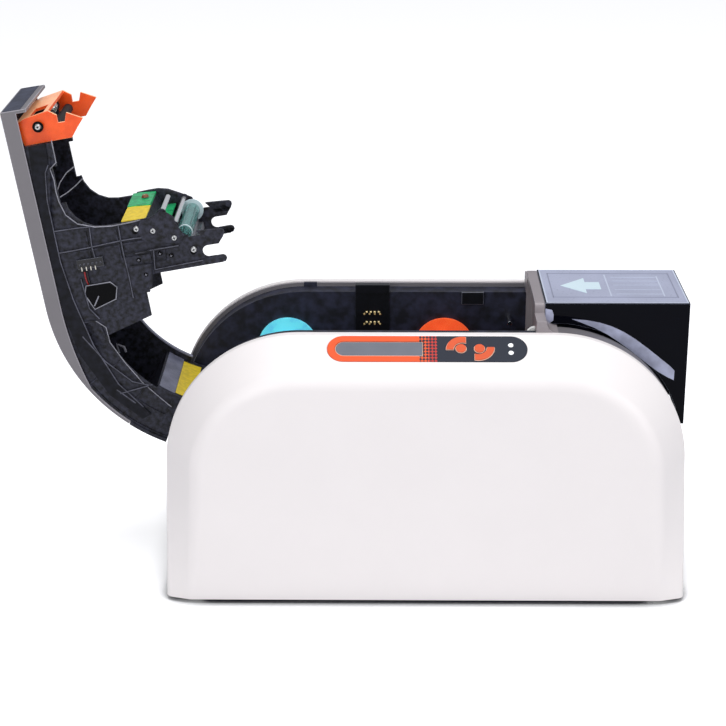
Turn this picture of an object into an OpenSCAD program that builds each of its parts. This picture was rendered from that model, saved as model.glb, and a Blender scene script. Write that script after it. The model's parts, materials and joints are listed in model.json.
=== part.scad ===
// Desktop card printer: rounded white housing, grey top cover swung open on its end hinge,
// smoked card hopper with its lid shut at the other end. X runs from the cover hinge to the
// hopper, the control panel faces -Y, and the origin is on the table under the middle of the
// housing.

/* [Housing] */
// Length over the rounded ends
body_l = 376; // [366:1:392]
// Width over the flat faces of the side panels
body_w = 204; // [196:1:220]
// Height of the side panels' ridge above the table
body_h = 194; // [190:1:204]
// Radius of the rounded ends
arch_r = 97; // [94:1:100]
// Thickness of the moulded panels
panel_t = 3; // [2:0.5:4]
// How far the flat face is set in from the ridge outline
shoulder_in = 22; // [16:1:26]
// Width of the level band along the ridge
crest_w = 5.5; // [3:0.5:8]
// Rounding where the shoulder meets the flat face
face_round = 14; // [8:1:18]
// How far the flat face is set in at the feet
foot_in = 18; // [12:1:22]
// Depth of the shoulder at the feet
foot_depth = 5.5; // [3:0.5:12]
// Height of the rubber feet
foot_h = 3; // [2:0.5:5]
// Radius of the rubber feet
foot_r = 9; // [6:1:12]

/* [Chassis] */
// Clear width of the bay between the chassis walls
bay_w = 90; // [88:1:94]
// Thickness of the chassis walls
chassis_t = 2.5; // [2:0.5:3]
// Width of the grey rim strips
rim_w = 15.5; // [13:0.5:17]
// Thickness of the rim strips and the end covers
rim_t = 3; // [2:0.5:4]
// Width of the rim strips beside the bay
lip_w = 2; // [1.5:0.5:3]
// Step down from the ridge to the rim strips
rim_step = 0.8; // [0.4:0.1:1.5]
// Thickness of the steel base plate
plate_t = 2; // [1.5:0.5:3]
// Thickness of the bay floor
deck_t = 3; // [2:0.5:4]

/* [Cover] */
// Opening angle of the top cover
open_angle = 99.5; // [60:0.5:105]
// Distance of the hinge axis from the end of the housing
hinge_in = 19.3; // [18:0.1:21]
// Distance of the hinge axis below the ridge
hinge_drop = 73.9; // [72:0.1:76]
// Width of the cover
cover_w = 82; // [80:0.5:84]
// Height of the cover's top above the ridge
cover_rise = 16; // [14:0.5:20]
// Radius of the cover's curved end
cover_r = 134; // [130:1:138]
// Thickness of the cover shell
shell_t = 2.5; // [2:0.5:3]
// Depth of the cover's side skirt
skirt = 11; // [8:1:13]
// Thickness of the black cover frame
frame_t = 2; // [1.5:0.5:2.5]
// Radius of the hinge pins
pin_r = 3; // [2:0.5:4]
// Distance from the hinge axis to the platen along the housing
head_reach = 124.8; // [123:0.2:127]
// Distance of the platen below the hinge axis
head_drop = 33.6; // [32:0.2:35]

/* [Card path] */
// Length of a card
card_l = 85.6; // [80:0.2:90]
// Width of a card
card_w = 54; // [50:0.2:56]
// Radius of the platen roller
platen_r = 8; // [7:0.5:9]
// Radius of the feed, pick and exit rollers
roller_r = 8; // [7:0.5:9]
// Radius of the roller shafts
shaft_r = 2.5; // [2:0.25:3]
// Radius of the belt pulleys
pulley_r = 7; // [6:0.5:8]

/* [Ribbon drive] */
// Radius of the hub discs
hub_r = 23; // [20:1:24]
// Distance of each hub from the platen along the housing
hub_reach = 60; // [58:1:64]
// Height of the hubs above the platen
hub_rise = 60; // [56:1:62]
// Gear module
gear_m = 0.8; // [0.7:0.1:0.9]
// Teeth on each hub gear
gear_teeth = 40; // [36:1:42]
// Teeth on each motor pinion
pinion_teeth = 12; // [12:1:14]

/* [Hopper] */
// Length of the hopper beyond the card that it holds
hopper_room = 24.4; // [22:0.2:28]
// Thickness of the hopper frame
hopper_frame_t = 7; // [6:0.5:8]
// Wall thickness of the smoked lid
lid_t = 2.5; // [2:0.5:3]
// How far the lid overhangs the end of the housing
lid_over = 1.5; // [1:0.5:3]

/* [Controls] */
// Length of the control panel
bezel_l = 141; // [130:1:150]
// Width of the control panel
bezel_w = 23; // [21:0.5:24]
// Thickness of the control panel
bezel_t = 2; // [1.5:0.5:2.5]
// Distance of the display window from the panel's end
window_in = 5.5; // [4:0.5:8]
// Width of the display window
window_w = 13; // [11:0.5:14]
// Radius of the round buttons
button_r = 3.6; // [3:0.2:4]
// How far the buttons stand proud
button_proud = 0.9; // [0.6:0.1:1.2]

/* [Hidden] */
$fn = 48;

fit = 0.05;       // radial clearance of a shaft in its hole
gap = 0.3;        // clearance between parts that move past each other
seam = 0.2;       // clearance round a part set into a recess
cut = 1;          // how far a cutting shape runs past the face that it cuts

// Housing
base_z = foot_h;
plate_top = base_z + plate_t;
arch_x = body_l / 2 - arch_r;
arch_z = body_h - arch_r;
bay_y = bay_w / 2;
wall_y = bay_y + chassis_t;
rim_y = bay_y + rim_w;
rim_end_z = arch_z - 12;
rim_z = body_h - rim_step;
end_x = body_l / 2 - rim_step;
end_in = end_x - rim_t;
face_y = body_w / 2;
panel_d = face_y - rim_y;
slope = atan(shoulder_in / (panel_d - crest_w));
screw_r = 1.5;
boss_x = body_l / 2 - 34;
boss_y = face_y - panel_t - 6;

// Cover, drawn closed and then swung open about its hinge
hinge_x = -body_l / 2 + hinge_in;
hinge_z = body_h - hinge_drop;
hopper_l = card_l + hopper_room;
hopper_x = body_l / 2 - hopper_l;
cover_y = cover_w / 2;
cover_tip = hopper_x - 1;
cover_top = body_h + cover_rise;
hinge_depth = 24.9;   // hinge axis below the curved outside
arc_z = cover_top - cover_r;
arc_x = hinge_x + sqrt(pow(cover_r - hinge_depth, 2) - pow(hinge_z - arc_z, 2));
hinge_a = atan2(hinge_z - arc_z, hinge_x - arc_x);
shell_end = hinge_a - 20.2;   // angle round the arc where the grey shell ends
tail = 16.84;                 // from the hinge to the end of the black skin, along the arc
skin_end = hinge_a - tail / cover_r * 180 / PI;
skirt_end = hinge_a - 32.7;   // angle where the side skirt runs out
skin_r = cover_r - shell_t;
arm_r = skin_r - 32;
floor_r = arm_r - 2;
frame_y = cover_y - 1.5;
rib_h = 1;
wall_in = frame_y - rib_h - frame_t;
tube_r = pin_r + 7;

// Card path
platen_x = hinge_x + head_reach;
platen_z = hinge_z - head_drop;
card_z = platen_z + platen_r;
card_t = 0.8;
feed_x = platen_x + 72;
pick_x = hopper_x + 45;
exit_x = hinge_x + 22;
roller_z = card_z - roller_r;
deck_z = platen_z - 26.5;
bush_r = shaft_r + 2.5;
belt_t = 1.5;
belt_y = wall_y + 2.5;
belt_w = 5;
plate_y = belt_y + belt_w + 2.5;
drive_x = platen_x + 34;
motor_w = 42;
motor_end = face_y - panel_t - 10;
drive_z = plate_top + motor_w / 2 + 14.5;

// Ribbon drive
hub_z = platen_z + hub_rise;
gear_w = 5;
pinion_z = hub_z - gear_m * (gear_teeth + pinion_teeth) / 2 - 0.1;
hub_shaft_r = 4;
pinion_r = 1;

// Hopper
lid_y = cover_y;
lid_top = cover_top - 0.5;
lid_x0 = hopper_x + hopper_frame_t + 0.4;
lid_x1 = body_l / 2 + lid_over;
lid_hinge_x = body_l / 2 - 4.5;
lid_hinge_z = arch_z + 20;
lid_pin_r = 2;
flare_r = 9;
tray_x0 = lid_x0 + 3;
tray_t = 2;
tray_x1 = tray_x0 + card_l + 1.4 + 2 * tray_t;
tray_y = card_w / 2 + 0.5;
tray_rim = body_h - 6;

// Controls, on the sloping shoulder of the front panel
panel_mid_y = -(rim_y + crest_w + 11);
panel_mid_z = body_h - 11 * tan(slope);
bezel_out = 0.4;
board_t = 1.6;
under_z = bezel_out - bezel_t;
key_travel = 1;
board_top = under_z - 1.2 - key_travel - 2.2;
button_x = bezel_l / 2 - 40.2;
window_x = window_in - bezel_l / 2;
window_l = button_x - 33.3 - window_x;
arc_out = bezel_w / 2 - 0.1;
button_gap = 6.5;

// ---------------------------------------------------------------- shared shapes

// Arc points that round the corner p between the points a and b
function corner(a, p, b, r, n = 5) = r <= 0 ? [p] : let (
    u = (a - p) / norm(a - p), v = (b - p) / norm(b - p),
    half = acos(u * v) / 2,
    c = p + (u + v) / norm(u + v) * r / sin(half),
    s = p + u * r / tan(half) - c, e = p + v * r / tan(half) - c,
    start = atan2(s[1], s[0]), turn = atan2(e[1], e[0]) - start,
    sweep = turn > 180 ? turn - 360 : turn < -180 ? turn + 360 : turn)
  [for (i = [0 : n]) c + r * [cos(start + sweep * i / n), sin(start + sweep * i / n)]];

// Outline with each corner rounded by its own radius
function rounded(pts, radii) = let (n = len(pts))
  [for (i = [0 : n - 1])
    each corner(pts[(i + n - 1) % n], pts[i], pts[(i + 1) % n], radii[i])];

// Extrudes a front-view outline from y0 to y1
module front_cut(y0, y1)
  translate([0, y1, 0]) rotate([90, 0, 0]) linear_extrude(y1 - y0) children();

// Extrudes a left-view outline (Y, Z) from x0 to x1
module side_cut(x0, x1)
  translate([x0, 0, 0]) rotate([90, 0, 90]) linear_extrude(x1 - x0) children();

module both_sides() {
  children();
  mirror([0, 1, 0]) children();
}

// Round bar along Y
module bar(x, z, r, y0, y1)
  translate([x, y0, z]) rotate([-90, 0, 0]) cylinder(r = r, h = y1 - y0);

module tube(x, z, r, bore, y0, y1)
  difference() {
    bar(x, z, r, y0, y1);
    bar(x, z, bore, y0 - cut, y1 + cut);
  }

// Front outline of the housing, drawn in by inset and standing at floor_z
module loaf(inset, floor_z)
  intersection() {
    union() {
      for (side = [-1, 1]) translate([side * arch_x, arch_z]) circle(arch_r - inset, $fn = 96);
      translate([-arch_x, arch_z]) square([2 * arch_x, arch_r - inset]);
      translate([-body_l / 2 + inset, floor_z]) square([body_l - 2 * inset, arch_z - floor_z]);
    }
    translate([-body_l, floor_z]) square([2 * body_l, body_h]);
  }

module opened()
  translate([hinge_x, 0, hinge_z]) rotate([0, -open_angle, 0])
    translate([-hinge_x, 0, -hinge_z]) children();

// Pie slice between two angles, big enough to cut the arcs of radius r
module slice(a0, a1, r)
  polygon([[0, 0], for (i = [0 : 4]) let (a = a0 + (a1 - a0) * i / 4) r * 1.2 * [cos(a), sin(a)]]);

module ring_part(r0, r1, a0, a1)
  intersection() {
    difference() { circle(r1, $fn = 96); circle(r0, $fn = 96); }
    slice(a0, a1, r1);
  }

// ---------------------------------------------------------------- housing

// Half section of a side panel: x is the distance from the arch centre, y runs outwards.
// The shoulder starts at depth level and draws the face in by inset
module panel_section(t, y0, level = crest_w, inset = shoulder_in, ridge_r = 3) {
  tilt = atan(inset / (panel_d - level));
  r_top = arch_r - t;
  y_top = level - t * tan(tilt / 2);
  r_face = arch_r - inset - t / cos(tilt) + t * tan(tilt);
  polygon(rounded([[0, y0], [r_top, y0], [r_top, y_top], [r_face, panel_d - t], [0, panel_d - t]],
    [0, 0, max(ridge_r - t, 1), face_round - t, 0]));
}

// Leg of a side panel: its shoulder grows shallow towards the foot, where the leg is nearly square
module panel_leg(t, y0, drop)
  hull() {
    linear_extrude(0.01) panel_section(t, y0);
    translate([0, 0, drop - 0.01]) linear_extrude(0.01)
      panel_section(t, y0, panel_d - foot_depth, foot_in, 6);
  }

// Sweeps the section round both arches, along the top and down both legs
module panel_body(t, y0, floor_z) {
  for (side = [0, 1]) mirror([side, 0, 0]) translate([arch_x, 0, arch_z]) {
    rotate([90, 0, 0]) rotate_extrude(angle = 90, $fn = 96) panel_section(t, y0);
    rotate([180, 0, 0]) panel_leg(t, y0, arch_z - floor_z);
  }
  translate([-arch_x, 0, arch_z]) rotate([180, -90, 0])
    linear_extrude(2 * arch_x) panel_section(t, y0);
  translate([-arch_x, t - panel_d, floor_z]) cube([2 * arch_x, panel_d - t - y0, arch_z - floor_z]);
}

// Moulded shell, open towards the chassis and underneath, with bosses for the base screws
module side_panel() {
  boss_r = 5;
  translate([0, -rim_y, 0]) difference() {
    panel_body(0, 0, base_z);
    panel_body(panel_t, -cut, base_z - cut);
  }
  for (x = [-boss_x, boss_x]) difference() {
    translate([x, 0, plate_top]) union() {
      translate([0, -boss_y, 0]) cylinder(r = boss_r, h = 26);
      translate([-1, -face_y + panel_t / 2, 0]) cube([2, face_y - panel_t / 2 - boss_y, 26]);
    }
    translate([x, -boss_y, plate_top - cut]) cylinder(r = screw_r, h = 14);
  }
}

// Places things flat on the front panel's shoulder, x along it and z out of it
module on_shoulder()
  translate([0, panel_mid_y, panel_mid_z]) rotate([slope, 0, 0]) children();

module stadium(l, w)
  union() {
    for (side = [-1, 1]) translate([side * (l - w) / 2, 0]) circle(w / 2);
    square([l - w, w], center = true);
  }

module front_side_panel()
  color("whitesmoke") difference() {
    side_panel();
    on_shoulder() {
      translate([0, 0, under_z]) linear_extrude(20)
        stadium(bezel_l + 2 * seam, bezel_w + 2 * seam);
      translate([0, 0, -12]) linear_extrude(20) stadium(bezel_l - 5, bezel_w - 5);
      translate([button_x, 0, -12]) linear_extrude(20) square([36, bezel_w], center = true);
    }
  }

module rear_side_panel() color("whitesmoke") mirror([0, 1, 0]) side_panel();

// Steel plate that closes the underside inside the panels' walls, widest between their bosses
module base_plate()
  color("silver") difference() {
    translate([0, 0, base_z]) linear_extrude(plate_t) union() {
      square([body_l - 2 * panel_t - 3, 2 * (face_y - foot_depth - panel_t) - 5], center = true);
      square([2 * boss_x + 12, 2 * boss_y + 10], center = true);
    }
    for (x = [-boss_x, boss_x], y = [-boss_y, boss_y])
      translate([x, y, base_z - cut]) cylinder(r = screw_r, h = plate_t + 2 * cut);
  }

module rubber_feet()
  color("dimgray") {
    for (x = [-1, 1], y = [-1, 1]) translate([x * (boss_x - 22), y * (boss_y - 14), 0]) foot();
    foot();
  }

module foot() {
  cylinder(r1 = foot_r - 0.8, r2 = foot_r, h = 0.8);
  translate([0, 0, 0.8]) cylinder(r = foot_r, h = foot_h - 0.8);
}

// ---------------------------------------------------------------- chassis

module shaft_spots() {
  for (p = [[platen_x, platen_z], [feed_x, roller_z], [pick_x, roller_z], [exit_x, roller_z]])
    translate(p) children();
}

// Wall beside the bay, with a flange at its top that reaches out to the side panel
module chassis_wall()
  union() {
    front_cut(bay_y, wall_y) difference() {
      loaf(rim_step + rim_t, plate_top);
      shaft_spots() circle(bush_r);
      translate([hinge_x, hinge_z]) circle(pin_r);
      translate([lid_hinge_x, lid_hinge_z]) circle(lid_pin_r);
    }
    front_cut(wall_y - 0.5, rim_y) difference() {
      loaf(rim_step + rim_t, rim_end_z);
      loaf(rim_step + rim_t + chassis_t, 0);
    }
  }

module front_chassis_wall()
  color([0.13, 0.13, 0.18]) difference() {
    mirror([0, 1, 0]) chassis_wall();
    idler_axle(-wall_y - cut, fit);
  }

module rear_chassis_wall()
  color([0.13, 0.13, 0.18]) difference() {
    chassis_wall();
    for (side = [-1, 1])
      bar(platen_x + side * hub_reach, hub_z, hub_shaft_r + fit, bay_y - cut, wall_y + cut);
  }

// Grey strips on the chassis walls' flanges: full width beside the hopper, a lip beside the bay
module rim_strips()
  color([0.46, 0.45, 0.46]) difference() {
    both_sides() front_cut(bay_y, rim_y) difference() {
      loaf(rim_step, rim_end_z);
      loaf(rim_step + rim_t, rim_end_z - cut);
    }
    both_sides() translate([-body_l, bay_y - cut, 0])
      cube([body_l + hopper_x, rim_w - lip_w + cut, 2 * body_h]);
    translate([-arch_x - 0.7, rim_y - lip_w - cut, body_h - 2.5]) cube([10, lip_w + 2 * cut, 5]);
    bar(lid_hinge_x, lid_hinge_z, lid_pin_r, -wall_y, wall_y);
  }

// End cover under the hinge: the card comes out of its slot, and its lip curls in under the cover
module hinge_end_cover() {
  lip_r = 25.5;
  lip_y = wall_in - 1.5;
  lip_t = 1.5;
  lip_a = acos((hinge_x + end_x - rim_t / 2) / lip_r);
  slot_y = card_w / 2 + 1.5;
  color([0.36, 0.35, 0.37]) difference() {
    union() {
      translate([-end_x, -rim_y, base_z]) cube([rim_t, 2 * rim_y, rim_end_z - base_z]);
      translate([-end_x, -lip_y, base_z])
        cube([rim_t, 2 * lip_y, hinge_z - lip_r * sin(lip_a) - base_z]);
      front_cut(-lip_y, lip_y) translate([hinge_x, hinge_z])
        ring_part(lip_r - lip_t, lip_r, 145, 184 + lip_a);
    }
    translate([-end_x - cut, -slot_y, card_z - 4]) cube([rim_t + 2 * cut, 2 * slot_y, 6.5]);
  }
}

module hopper_end_cover() {
  color([0.36, 0.35, 0.37]) difference() {
    union() {
      translate([end_in, -rim_y, base_z]) cube([rim_t, 2 * rim_y, rim_end_z - base_z]);
      translate([end_in, -bay_y, base_z]) cube([rim_t, 2 * bay_y, lid_hinge_z - 7 - base_z]);
    }
    inlet_body(seam);
    usb_body(seam);
    for (i = [0 : 5]) translate([end_in - cut, -28 + 11.2 * i - 3.5, 62])
      cube([rim_t + 2 * cut, 7, 2.4]);
  }
}

// Front outline of the concave foot that runs from the frame on to the rim
module flare(grow)
  difference() {
    translate([hopper_x, rim_z - grow]) square([hopper_frame_t + flare_r, flare_r + grow]);
    translate([hopper_x + hopper_frame_t + flare_r, rim_z + flare_r]) circle(flare_r - grow);
  }

// Frame between the bay and the hopper: a wall with a thick edge that flares on to the rim
module hopper_frame() {
  edge = 5;
  foot_z = card_z + 4;
  color([0.56, 0.54, 0.55]) {
    difference() {
      side_cut(hopper_x, hopper_x + hopper_frame_t) polygon(rounded(
        [[-lid_y, foot_z], [lid_y, foot_z], [lid_y, lid_top], [-lid_y, lid_top]], [0, 0, 3, 3]));
      side_cut(hopper_x - cut, hopper_x + hopper_frame_t - 2.5) polygon(rounded(
        [[-lid_y + edge, foot_z - cut], [lid_y - edge, foot_z - cut],
          [lid_y - edge, lid_top - edge], [-lid_y + edge, lid_top - edge]], [0, 0, 3, 3]));
    }
    both_sides() front_cut(lid_y - lid_t, rim_y) flare(0);
    front_cut(lid_y - lid_t, bay_y) translate([hopper_x, rim_z - rim_t])
      square([hopper_frame_t, rim_t]);
  }
}

// Pocket for the stack of cards, with a curved flange between the chassis walls
module hopper_tray() {
  floor_t = 2.5;
  color([0.2, 0.2, 0.23]) difference() {
    union() {
      translate([tray_x0, -tray_y - tray_t, card_z - floor_t])
        cube([tray_x1 - tray_x0, 2 * (tray_y + tray_t), tray_rim - card_z + floor_t]);
      both_sides() front_cut(tray_y, bay_y) difference() {
        intersection() {
          loaf(rim_step + rim_t, rim_end_z);
          translate([hopper_x + hopper_frame_t, lid_hinge_z + 14]) square([hopper_l, body_h]);
        }
        loaf(rim_step + rim_t + 2, 0);
      }
    }
    translate([tray_x0 + tray_t, -tray_y, card_z])
      cube([tray_x1 - tray_x0 - 2 * tray_t, 2 * tray_y, body_h]);
    translate([pick_x - roller_r - 2, -14, card_z - floor_t - cut])
      cube([2 * roller_r + 4, 28, floor_t + 2 * cut]);
    translate([tray_x0 - cut, -tray_y, card_z]) cube([tray_t + 2 * cut, 2 * tray_y, 1.2]);
    translate([tray_x0 + 30, -tray_y - tray_t - cut, tray_rim - 45])
      cube([card_l - 58, 2 * (tray_y + tray_t + cut), 60]);
  }
}

// Bay floor with the two card guide rails
module card_deck() {
  rail_y = card_w / 2 + 0.4;
  rail_t = 2.6;
  color([0.16, 0.16, 0.2]) difference() {
    union() {
      translate([-end_in, -bay_y, deck_z]) cube([2 * end_in, bay_w, deck_t]);
      both_sides() translate([-end_in, rail_y, deck_z])
        cube([end_in + hopper_x - 2, rail_t, card_z + 2.5 - deck_z]);
      both_sides() translate([hopper_x, rail_y, deck_z])
        cube([end_in - hopper_x, rail_t, card_z - 2.5 - deck_z]);
    }
    translate([platen_x - 24, -bay_y - cut, platen_z - 14]) cube([48, bay_w + 2 * cut, 60]);
    for (p = [[feed_x, roller_z], [pick_x, roller_z], [exit_x, roller_z]])
      bar(p[0], p[1], shaft_r + 1, -bay_y, bay_y);
  }
}

module shaft_bushes()
  color("goldenrod") both_sides()
    for (p = [[platen_x, platen_z], [feed_x, roller_z], [pick_x, roller_z], [exit_x, roller_z]])
      difference() {
        union() {
          bar(p[0], p[1], bush_r, bay_y, wall_y);
          bar(p[0], p[1], bush_r + 1.5, bay_y - 1, bay_y);
        }
        bar(p[0], p[1], shaft_r + fit, bay_y - 2, wall_y + cut);
      }

module hinge_pins()
  color("silver") {
    both_sides() {
      bar(hinge_x, hinge_z, pin_r, frame_y - 12, wall_y + 1);
      bar(hinge_x, hinge_z, pin_r + 3, frame_y + gap, bay_y);
    }
    bar(lid_hinge_x, lid_hinge_z, lid_pin_r, -wall_y, wall_y);
  }

module case_screws()
  color("silver") for (x = [-boss_x, boss_x], y = [-boss_y, boss_y]) translate([x, y, 0]) {
    translate([0, 0, base_z - 1.4]) cylinder(r = 3, h = 1.4);
    translate([0, 0, base_z]) cylinder(r = screw_r, h = 12);
  }

// ---------------------------------------------------------------- sockets and controls

inlet_y = -28;
inlet_z = 30;
switch_y = inlet_y + 25.5;
switch_w = 20;
switch_h = 14.4;
inlet_w = 51;
inlet_h = 20;
usb_y = 28;
pivot_x = end_x - 3;

module inlet_body(grow)
  translate([end_in - 14, inlet_y - 13.5 - grow, inlet_z - inlet_h / 2 - grow])
    cube([rim_t + 14 + cut, inlet_w + 2 * grow, inlet_h + 2 * grow]);

// Power entry module: three-pin socket beside the rocker's well
module power_inlet()
  color([0.1, 0.1, 0.11]) difference() {
    union() {
      intersection() {
        inlet_body(0);
        translate([0, -rim_y, 0]) cube([end_x, 2 * rim_y, body_h]);
      }
      translate([end_x, inlet_y - 15, inlet_z - inlet_h / 2 - 1.5])
        cube([1, inlet_w + 3, inlet_h + 3]);
    }
    side_cut(end_x - 13, end_x + 2) translate([inlet_y, inlet_z]) polygon(
      [[-11, -7], [11, -7], [11, 3], [7, 7], [-7, 7], [-11, 3]]);
    translate([end_x - 9, switch_y - switch_w / 2, inlet_z - switch_h / 2])
      cube([12, switch_w, switch_h]);
    translate([pivot_x, switch_y, inlet_z - switch_h / 2 - 1.6])
      cylinder(r = 1.2 + fit, h = switch_h + 3.2);
  }

// Rocker that turns on a pin across its well, resting with one end pressed in
module power_switch()
  color([0.15, 0.15, 0.16]) translate([pivot_x, switch_y, inlet_z]) {
    translate([0, 0, -switch_h / 2 + gap]) linear_extrude(switch_h - 2 * gap) rotate(-6)
      polygon([[-2.4, -3.5], [-2.4, 3.5], [2.2, 9.2], [5, 9.2], [3.9, 0], [5, -9.2], [2.2, -9.2]]);
    translate([0, 0, -switch_h / 2 - 1.4]) cylinder(r = 1.2, h = switch_h + 2.8);
  }

module usb_body(grow)
  translate([end_in - 10, usb_y - 6 - grow, inlet_z - 5.5 - grow])
    cube([rim_t + 10 + cut, 12 + 2 * grow, 11 + 2 * grow]);

module usb_socket()
  color("silver") difference() {
    intersection() {
      usb_body(0);
      translate([0, -rim_y, 0]) cube([end_x + 0.4, 2 * rim_y, body_h]);
    }
    side_cut(end_x - 9, end_x + 2) translate([usb_y, inlet_z]) polygon(
      [[-4.5, -4], [4.5, -4], [4.5, 2], [2.8, 4], [-2.8, 4], [-4.5, 2]]);
  }

module control_bezel()
  color([0.2, 0.23, 0.28]) on_shoulder() {
    difference() {
      translate([0, 0, under_z]) linear_extrude(bezel_t) stadium(bezel_l, bezel_w);
      window_shape(seam, under_z - cut, bezel_out + cut);
      for (i = [0 : 3]) button_shape(i, gap, under_z - cut, bezel_out + cut);
      light_pipes(fit, under_z - cut, bezel_out + cut);
    }
    for (p = [[button_x - 27.3, -5], [button_x - 27.3, 5], [button_x + 33.7, 0]])
      translate([p[0], p[1], board_top]) cylinder(r = 2, h = under_z - board_top);
  }

// Round at its outer end, square where it meets the keys
module window_shape(grow, z0, z1)
  translate([window_x + window_w / 2, 0, z0]) linear_extrude(z1 - z0) union() {
    circle(window_w / 2 + grow);
    translate([0, -window_w / 2 - grow]) square([window_l - window_w / 2 + grow, window_w + 2 * grow]);
  }

module display_window()
  color([0.45, 0.48, 0.55]) on_shoulder() window_shape(0, board_top, bezel_out - 0.3);

module light_pipes(grow, z0, z1)
  for (side = [-1, 1]) translate([button_x + 28.6, side * 3.4, z0])
    cylinder(r = 1.9 + grow, h = z1 - z0);

module status_lights() color("white") on_shoulder() light_pipes(0, board_top, bezel_out + 0.1);

// Keys 0 and 3 are arcs, keys 1 and 2 are round; 2 and 3 mirror 1 and 0 about the middle
module button_shape(i, grow, z0, z1)
  translate([button_x, 0, z0]) linear_extrude(z1 - z0)
    rotate(i > 1 ? 180 : 0) translate([-button_gap, 0])
      if (i == 1 || i == 2) circle(button_r + grow);
      else translate([1, -1]) difference() {
        intersection() {
          circle(arc_out + grow);
          translate([-20, -grow]) square([22.5 + grow, 20]);
        }
        circle(arc_out - 5 - grow);
      }

// Key with a flange that holds it in under the panel
module button(i)
  on_shoulder() {
    button_shape(i, 0, under_z - 1.2, bezel_out + button_proud);
    button_shape(i, 0.5, under_z - 1.2, under_z - 0.1);
  }

module menu_button() color("orangered") button(0);
module enter_button() color("orangered") button(1);
module cancel_button() color("orangered") button(2);
module scroll_button() color("orangered") button(3);

// ---------------------------------------------------------------- bay fittings

contact_x = platen_x + 5;

module contact_board()
  color([0.1, 0.1, 0.15]) difference() {
    union() {
      translate([contact_x - 13, bay_y - 1.5, body_h - 44]) cube([26, 1.5, 44]);
      translate([contact_x - 13, bay_y - 3, rim_z - rim_t]) cube([26, 6, rim_t + 3.3]);
    }
    for (i = [0 : 3], j = [0, 1])
      bar(contact_x - 6 + 4 * i - 0.2, body_h - 21 - 8 * j, 0.7, bay_y - 2, bay_y);
  }

module contact_pins()
  color("gold") for (i = [0 : 3], j = [0, 1])
    bar(contact_x - 6 + 4 * i - 0.2, body_h - 21 - 8 * j, 0.7, bay_y - 2.3, bay_y);

module sensor_pad()
  color([0.25, 0.25, 0.3])
    translate([hopper_x - 49, bay_y - 3, body_h - 13]) cube([17, 3, 10]);

// The latch hooks on to these
module catch_pins()
  color("silver") both_sides() bar(latch_x + 3.2, latch_z - 16.5, 1.8, latch_y - 4, bay_y);

idler_r = 6.5;
idler_x = hopper_x + idler_r - 6.2;
idler_z = rim_z - gap - idler_r;

module idler_axle(y0, grow)
  bar(idler_x, idler_z, 1.5 + grow, y0, -bay_y + cut);

module idler_wheel()
  color("white") {
    bar(idler_x, idler_z, idler_r, -bay_y + gap, -lid_y - 1);
    bar(idler_x, idler_z, 1.5, -wall_y - 0.5, -bay_y + gap);
  }

// ---------------------------------------------------------------- rollers and belt drive

module pulley(x, z) {
  bar(x, z, pulley_r, belt_y - 0.7, belt_y + belt_w + 0.7);
  for (y = [belt_y - 0.8, belt_y + belt_w + 0.2]) bar(x, z, pulley_r + 2.2, y, y + 0.6);
}

module platen_roller()
  color([0.15, 0.15, 0.16]) tube(platen_x, platen_z, platen_r, shaft_r, -card_w / 2, card_w / 2);

module platen_shaft()
  color("silver") {
    bar(platen_x, platen_z, shaft_r, -wall_y - 1, belt_y + belt_w + 0.8);
    pulley(platen_x, platen_z);
  }

// Shaft with rubber tyres and a pulley
module roller(x, z, tyre_w, tyre_gap) {
  bar(x, z, shaft_r, -wall_y - 1, belt_y + belt_w + 0.8);
  for (side = [-1, 1]) bar(x, z, roller_r, side * tyre_gap - tyre_w / 2, side * tyre_gap + tyre_w / 2);
  pulley(x, z);
}

module feed_roller() color([0.2, 0.2, 0.2]) roller(feed_x, roller_z, 12, 13);
module pick_roller() color([0.2, 0.2, 0.2]) roller(pick_x, roller_z, 8, 7);
module exit_roller() color([0.2, 0.2, 0.2]) roller(exit_x, roller_z, 12, 13);

module belt_circles(r)
  for (p = [[exit_x, roller_z], [platen_x, platen_z], [pick_x, roller_z], [drive_x, drive_z]])
    translate(p) circle(r);

// Toothed belt round the end pulleys and the motor pulley
module drive_belt()
  color([0.12, 0.12, 0.12]) front_cut(belt_y, belt_y + belt_w) difference() {
    hull() belt_circles(pulley_r + gap + belt_t);
    hull() belt_circles(pulley_r + gap);
  }

motor_shaft_r = 2.5;

module drive_pulley()
  color("silver") {
    pulley(drive_x, drive_z);
    bar(drive_x, drive_z, motor_shaft_r, belt_y, plate_y + 1.5 + 10);
  }

module drive_motor()
  color([0.2, 0.2, 0.22]) difference() {
    front_cut(plate_y + 1.5, motor_end) translate([drive_x, drive_z]) polygon(rounded(
      [for (p = [[-1, -1], [1, -1], [1, 1], [-1, 1]]) p * motor_w / 2], [5, 5, 5, 5]));
    bar(drive_x, drive_z, motor_shaft_r + fit, plate_y, plate_y + 1.5 + 12);
  }

// Steel plate that carries the motors, on stand-offs from the rear wall
module drive_plate() {
  x0 = platen_x - hub_reach - 32;
  x1 = platen_x + hub_reach + 32;
  z0 = drive_z - 24;
  z1 = hub_z + 12;
  color("lightsteelblue") difference() {
    union() {
      front_cut(plate_y, plate_y + 1.5) polygon(rounded(
        [[x0, z0], [x1, z0], [x1, z1], [x0, z1]], [6, 6, 6, 6]));
      for (p = [[x0 + 6, z0 + 6], [x1 - 6, z0 + 6], [x0 + 6, z1 - 6], [x1 - 6, z1 - 6]])
        bar(p[0], p[1], 3, wall_y, plate_y + 0.5);
    }
    bar(drive_x, drive_z, motor_shaft_r + 3, plate_y - cut, plate_y + 3);
    for (side = [-1, 1]) {
      bar(platen_x + side * hub_reach, pinion_z, 4, plate_y - cut, plate_y + 3);
      bar(platen_x + side * hub_reach, hub_z, hub_shaft_r + 1, plate_y - cut, plate_y + 3);
    }
  }
}

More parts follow.
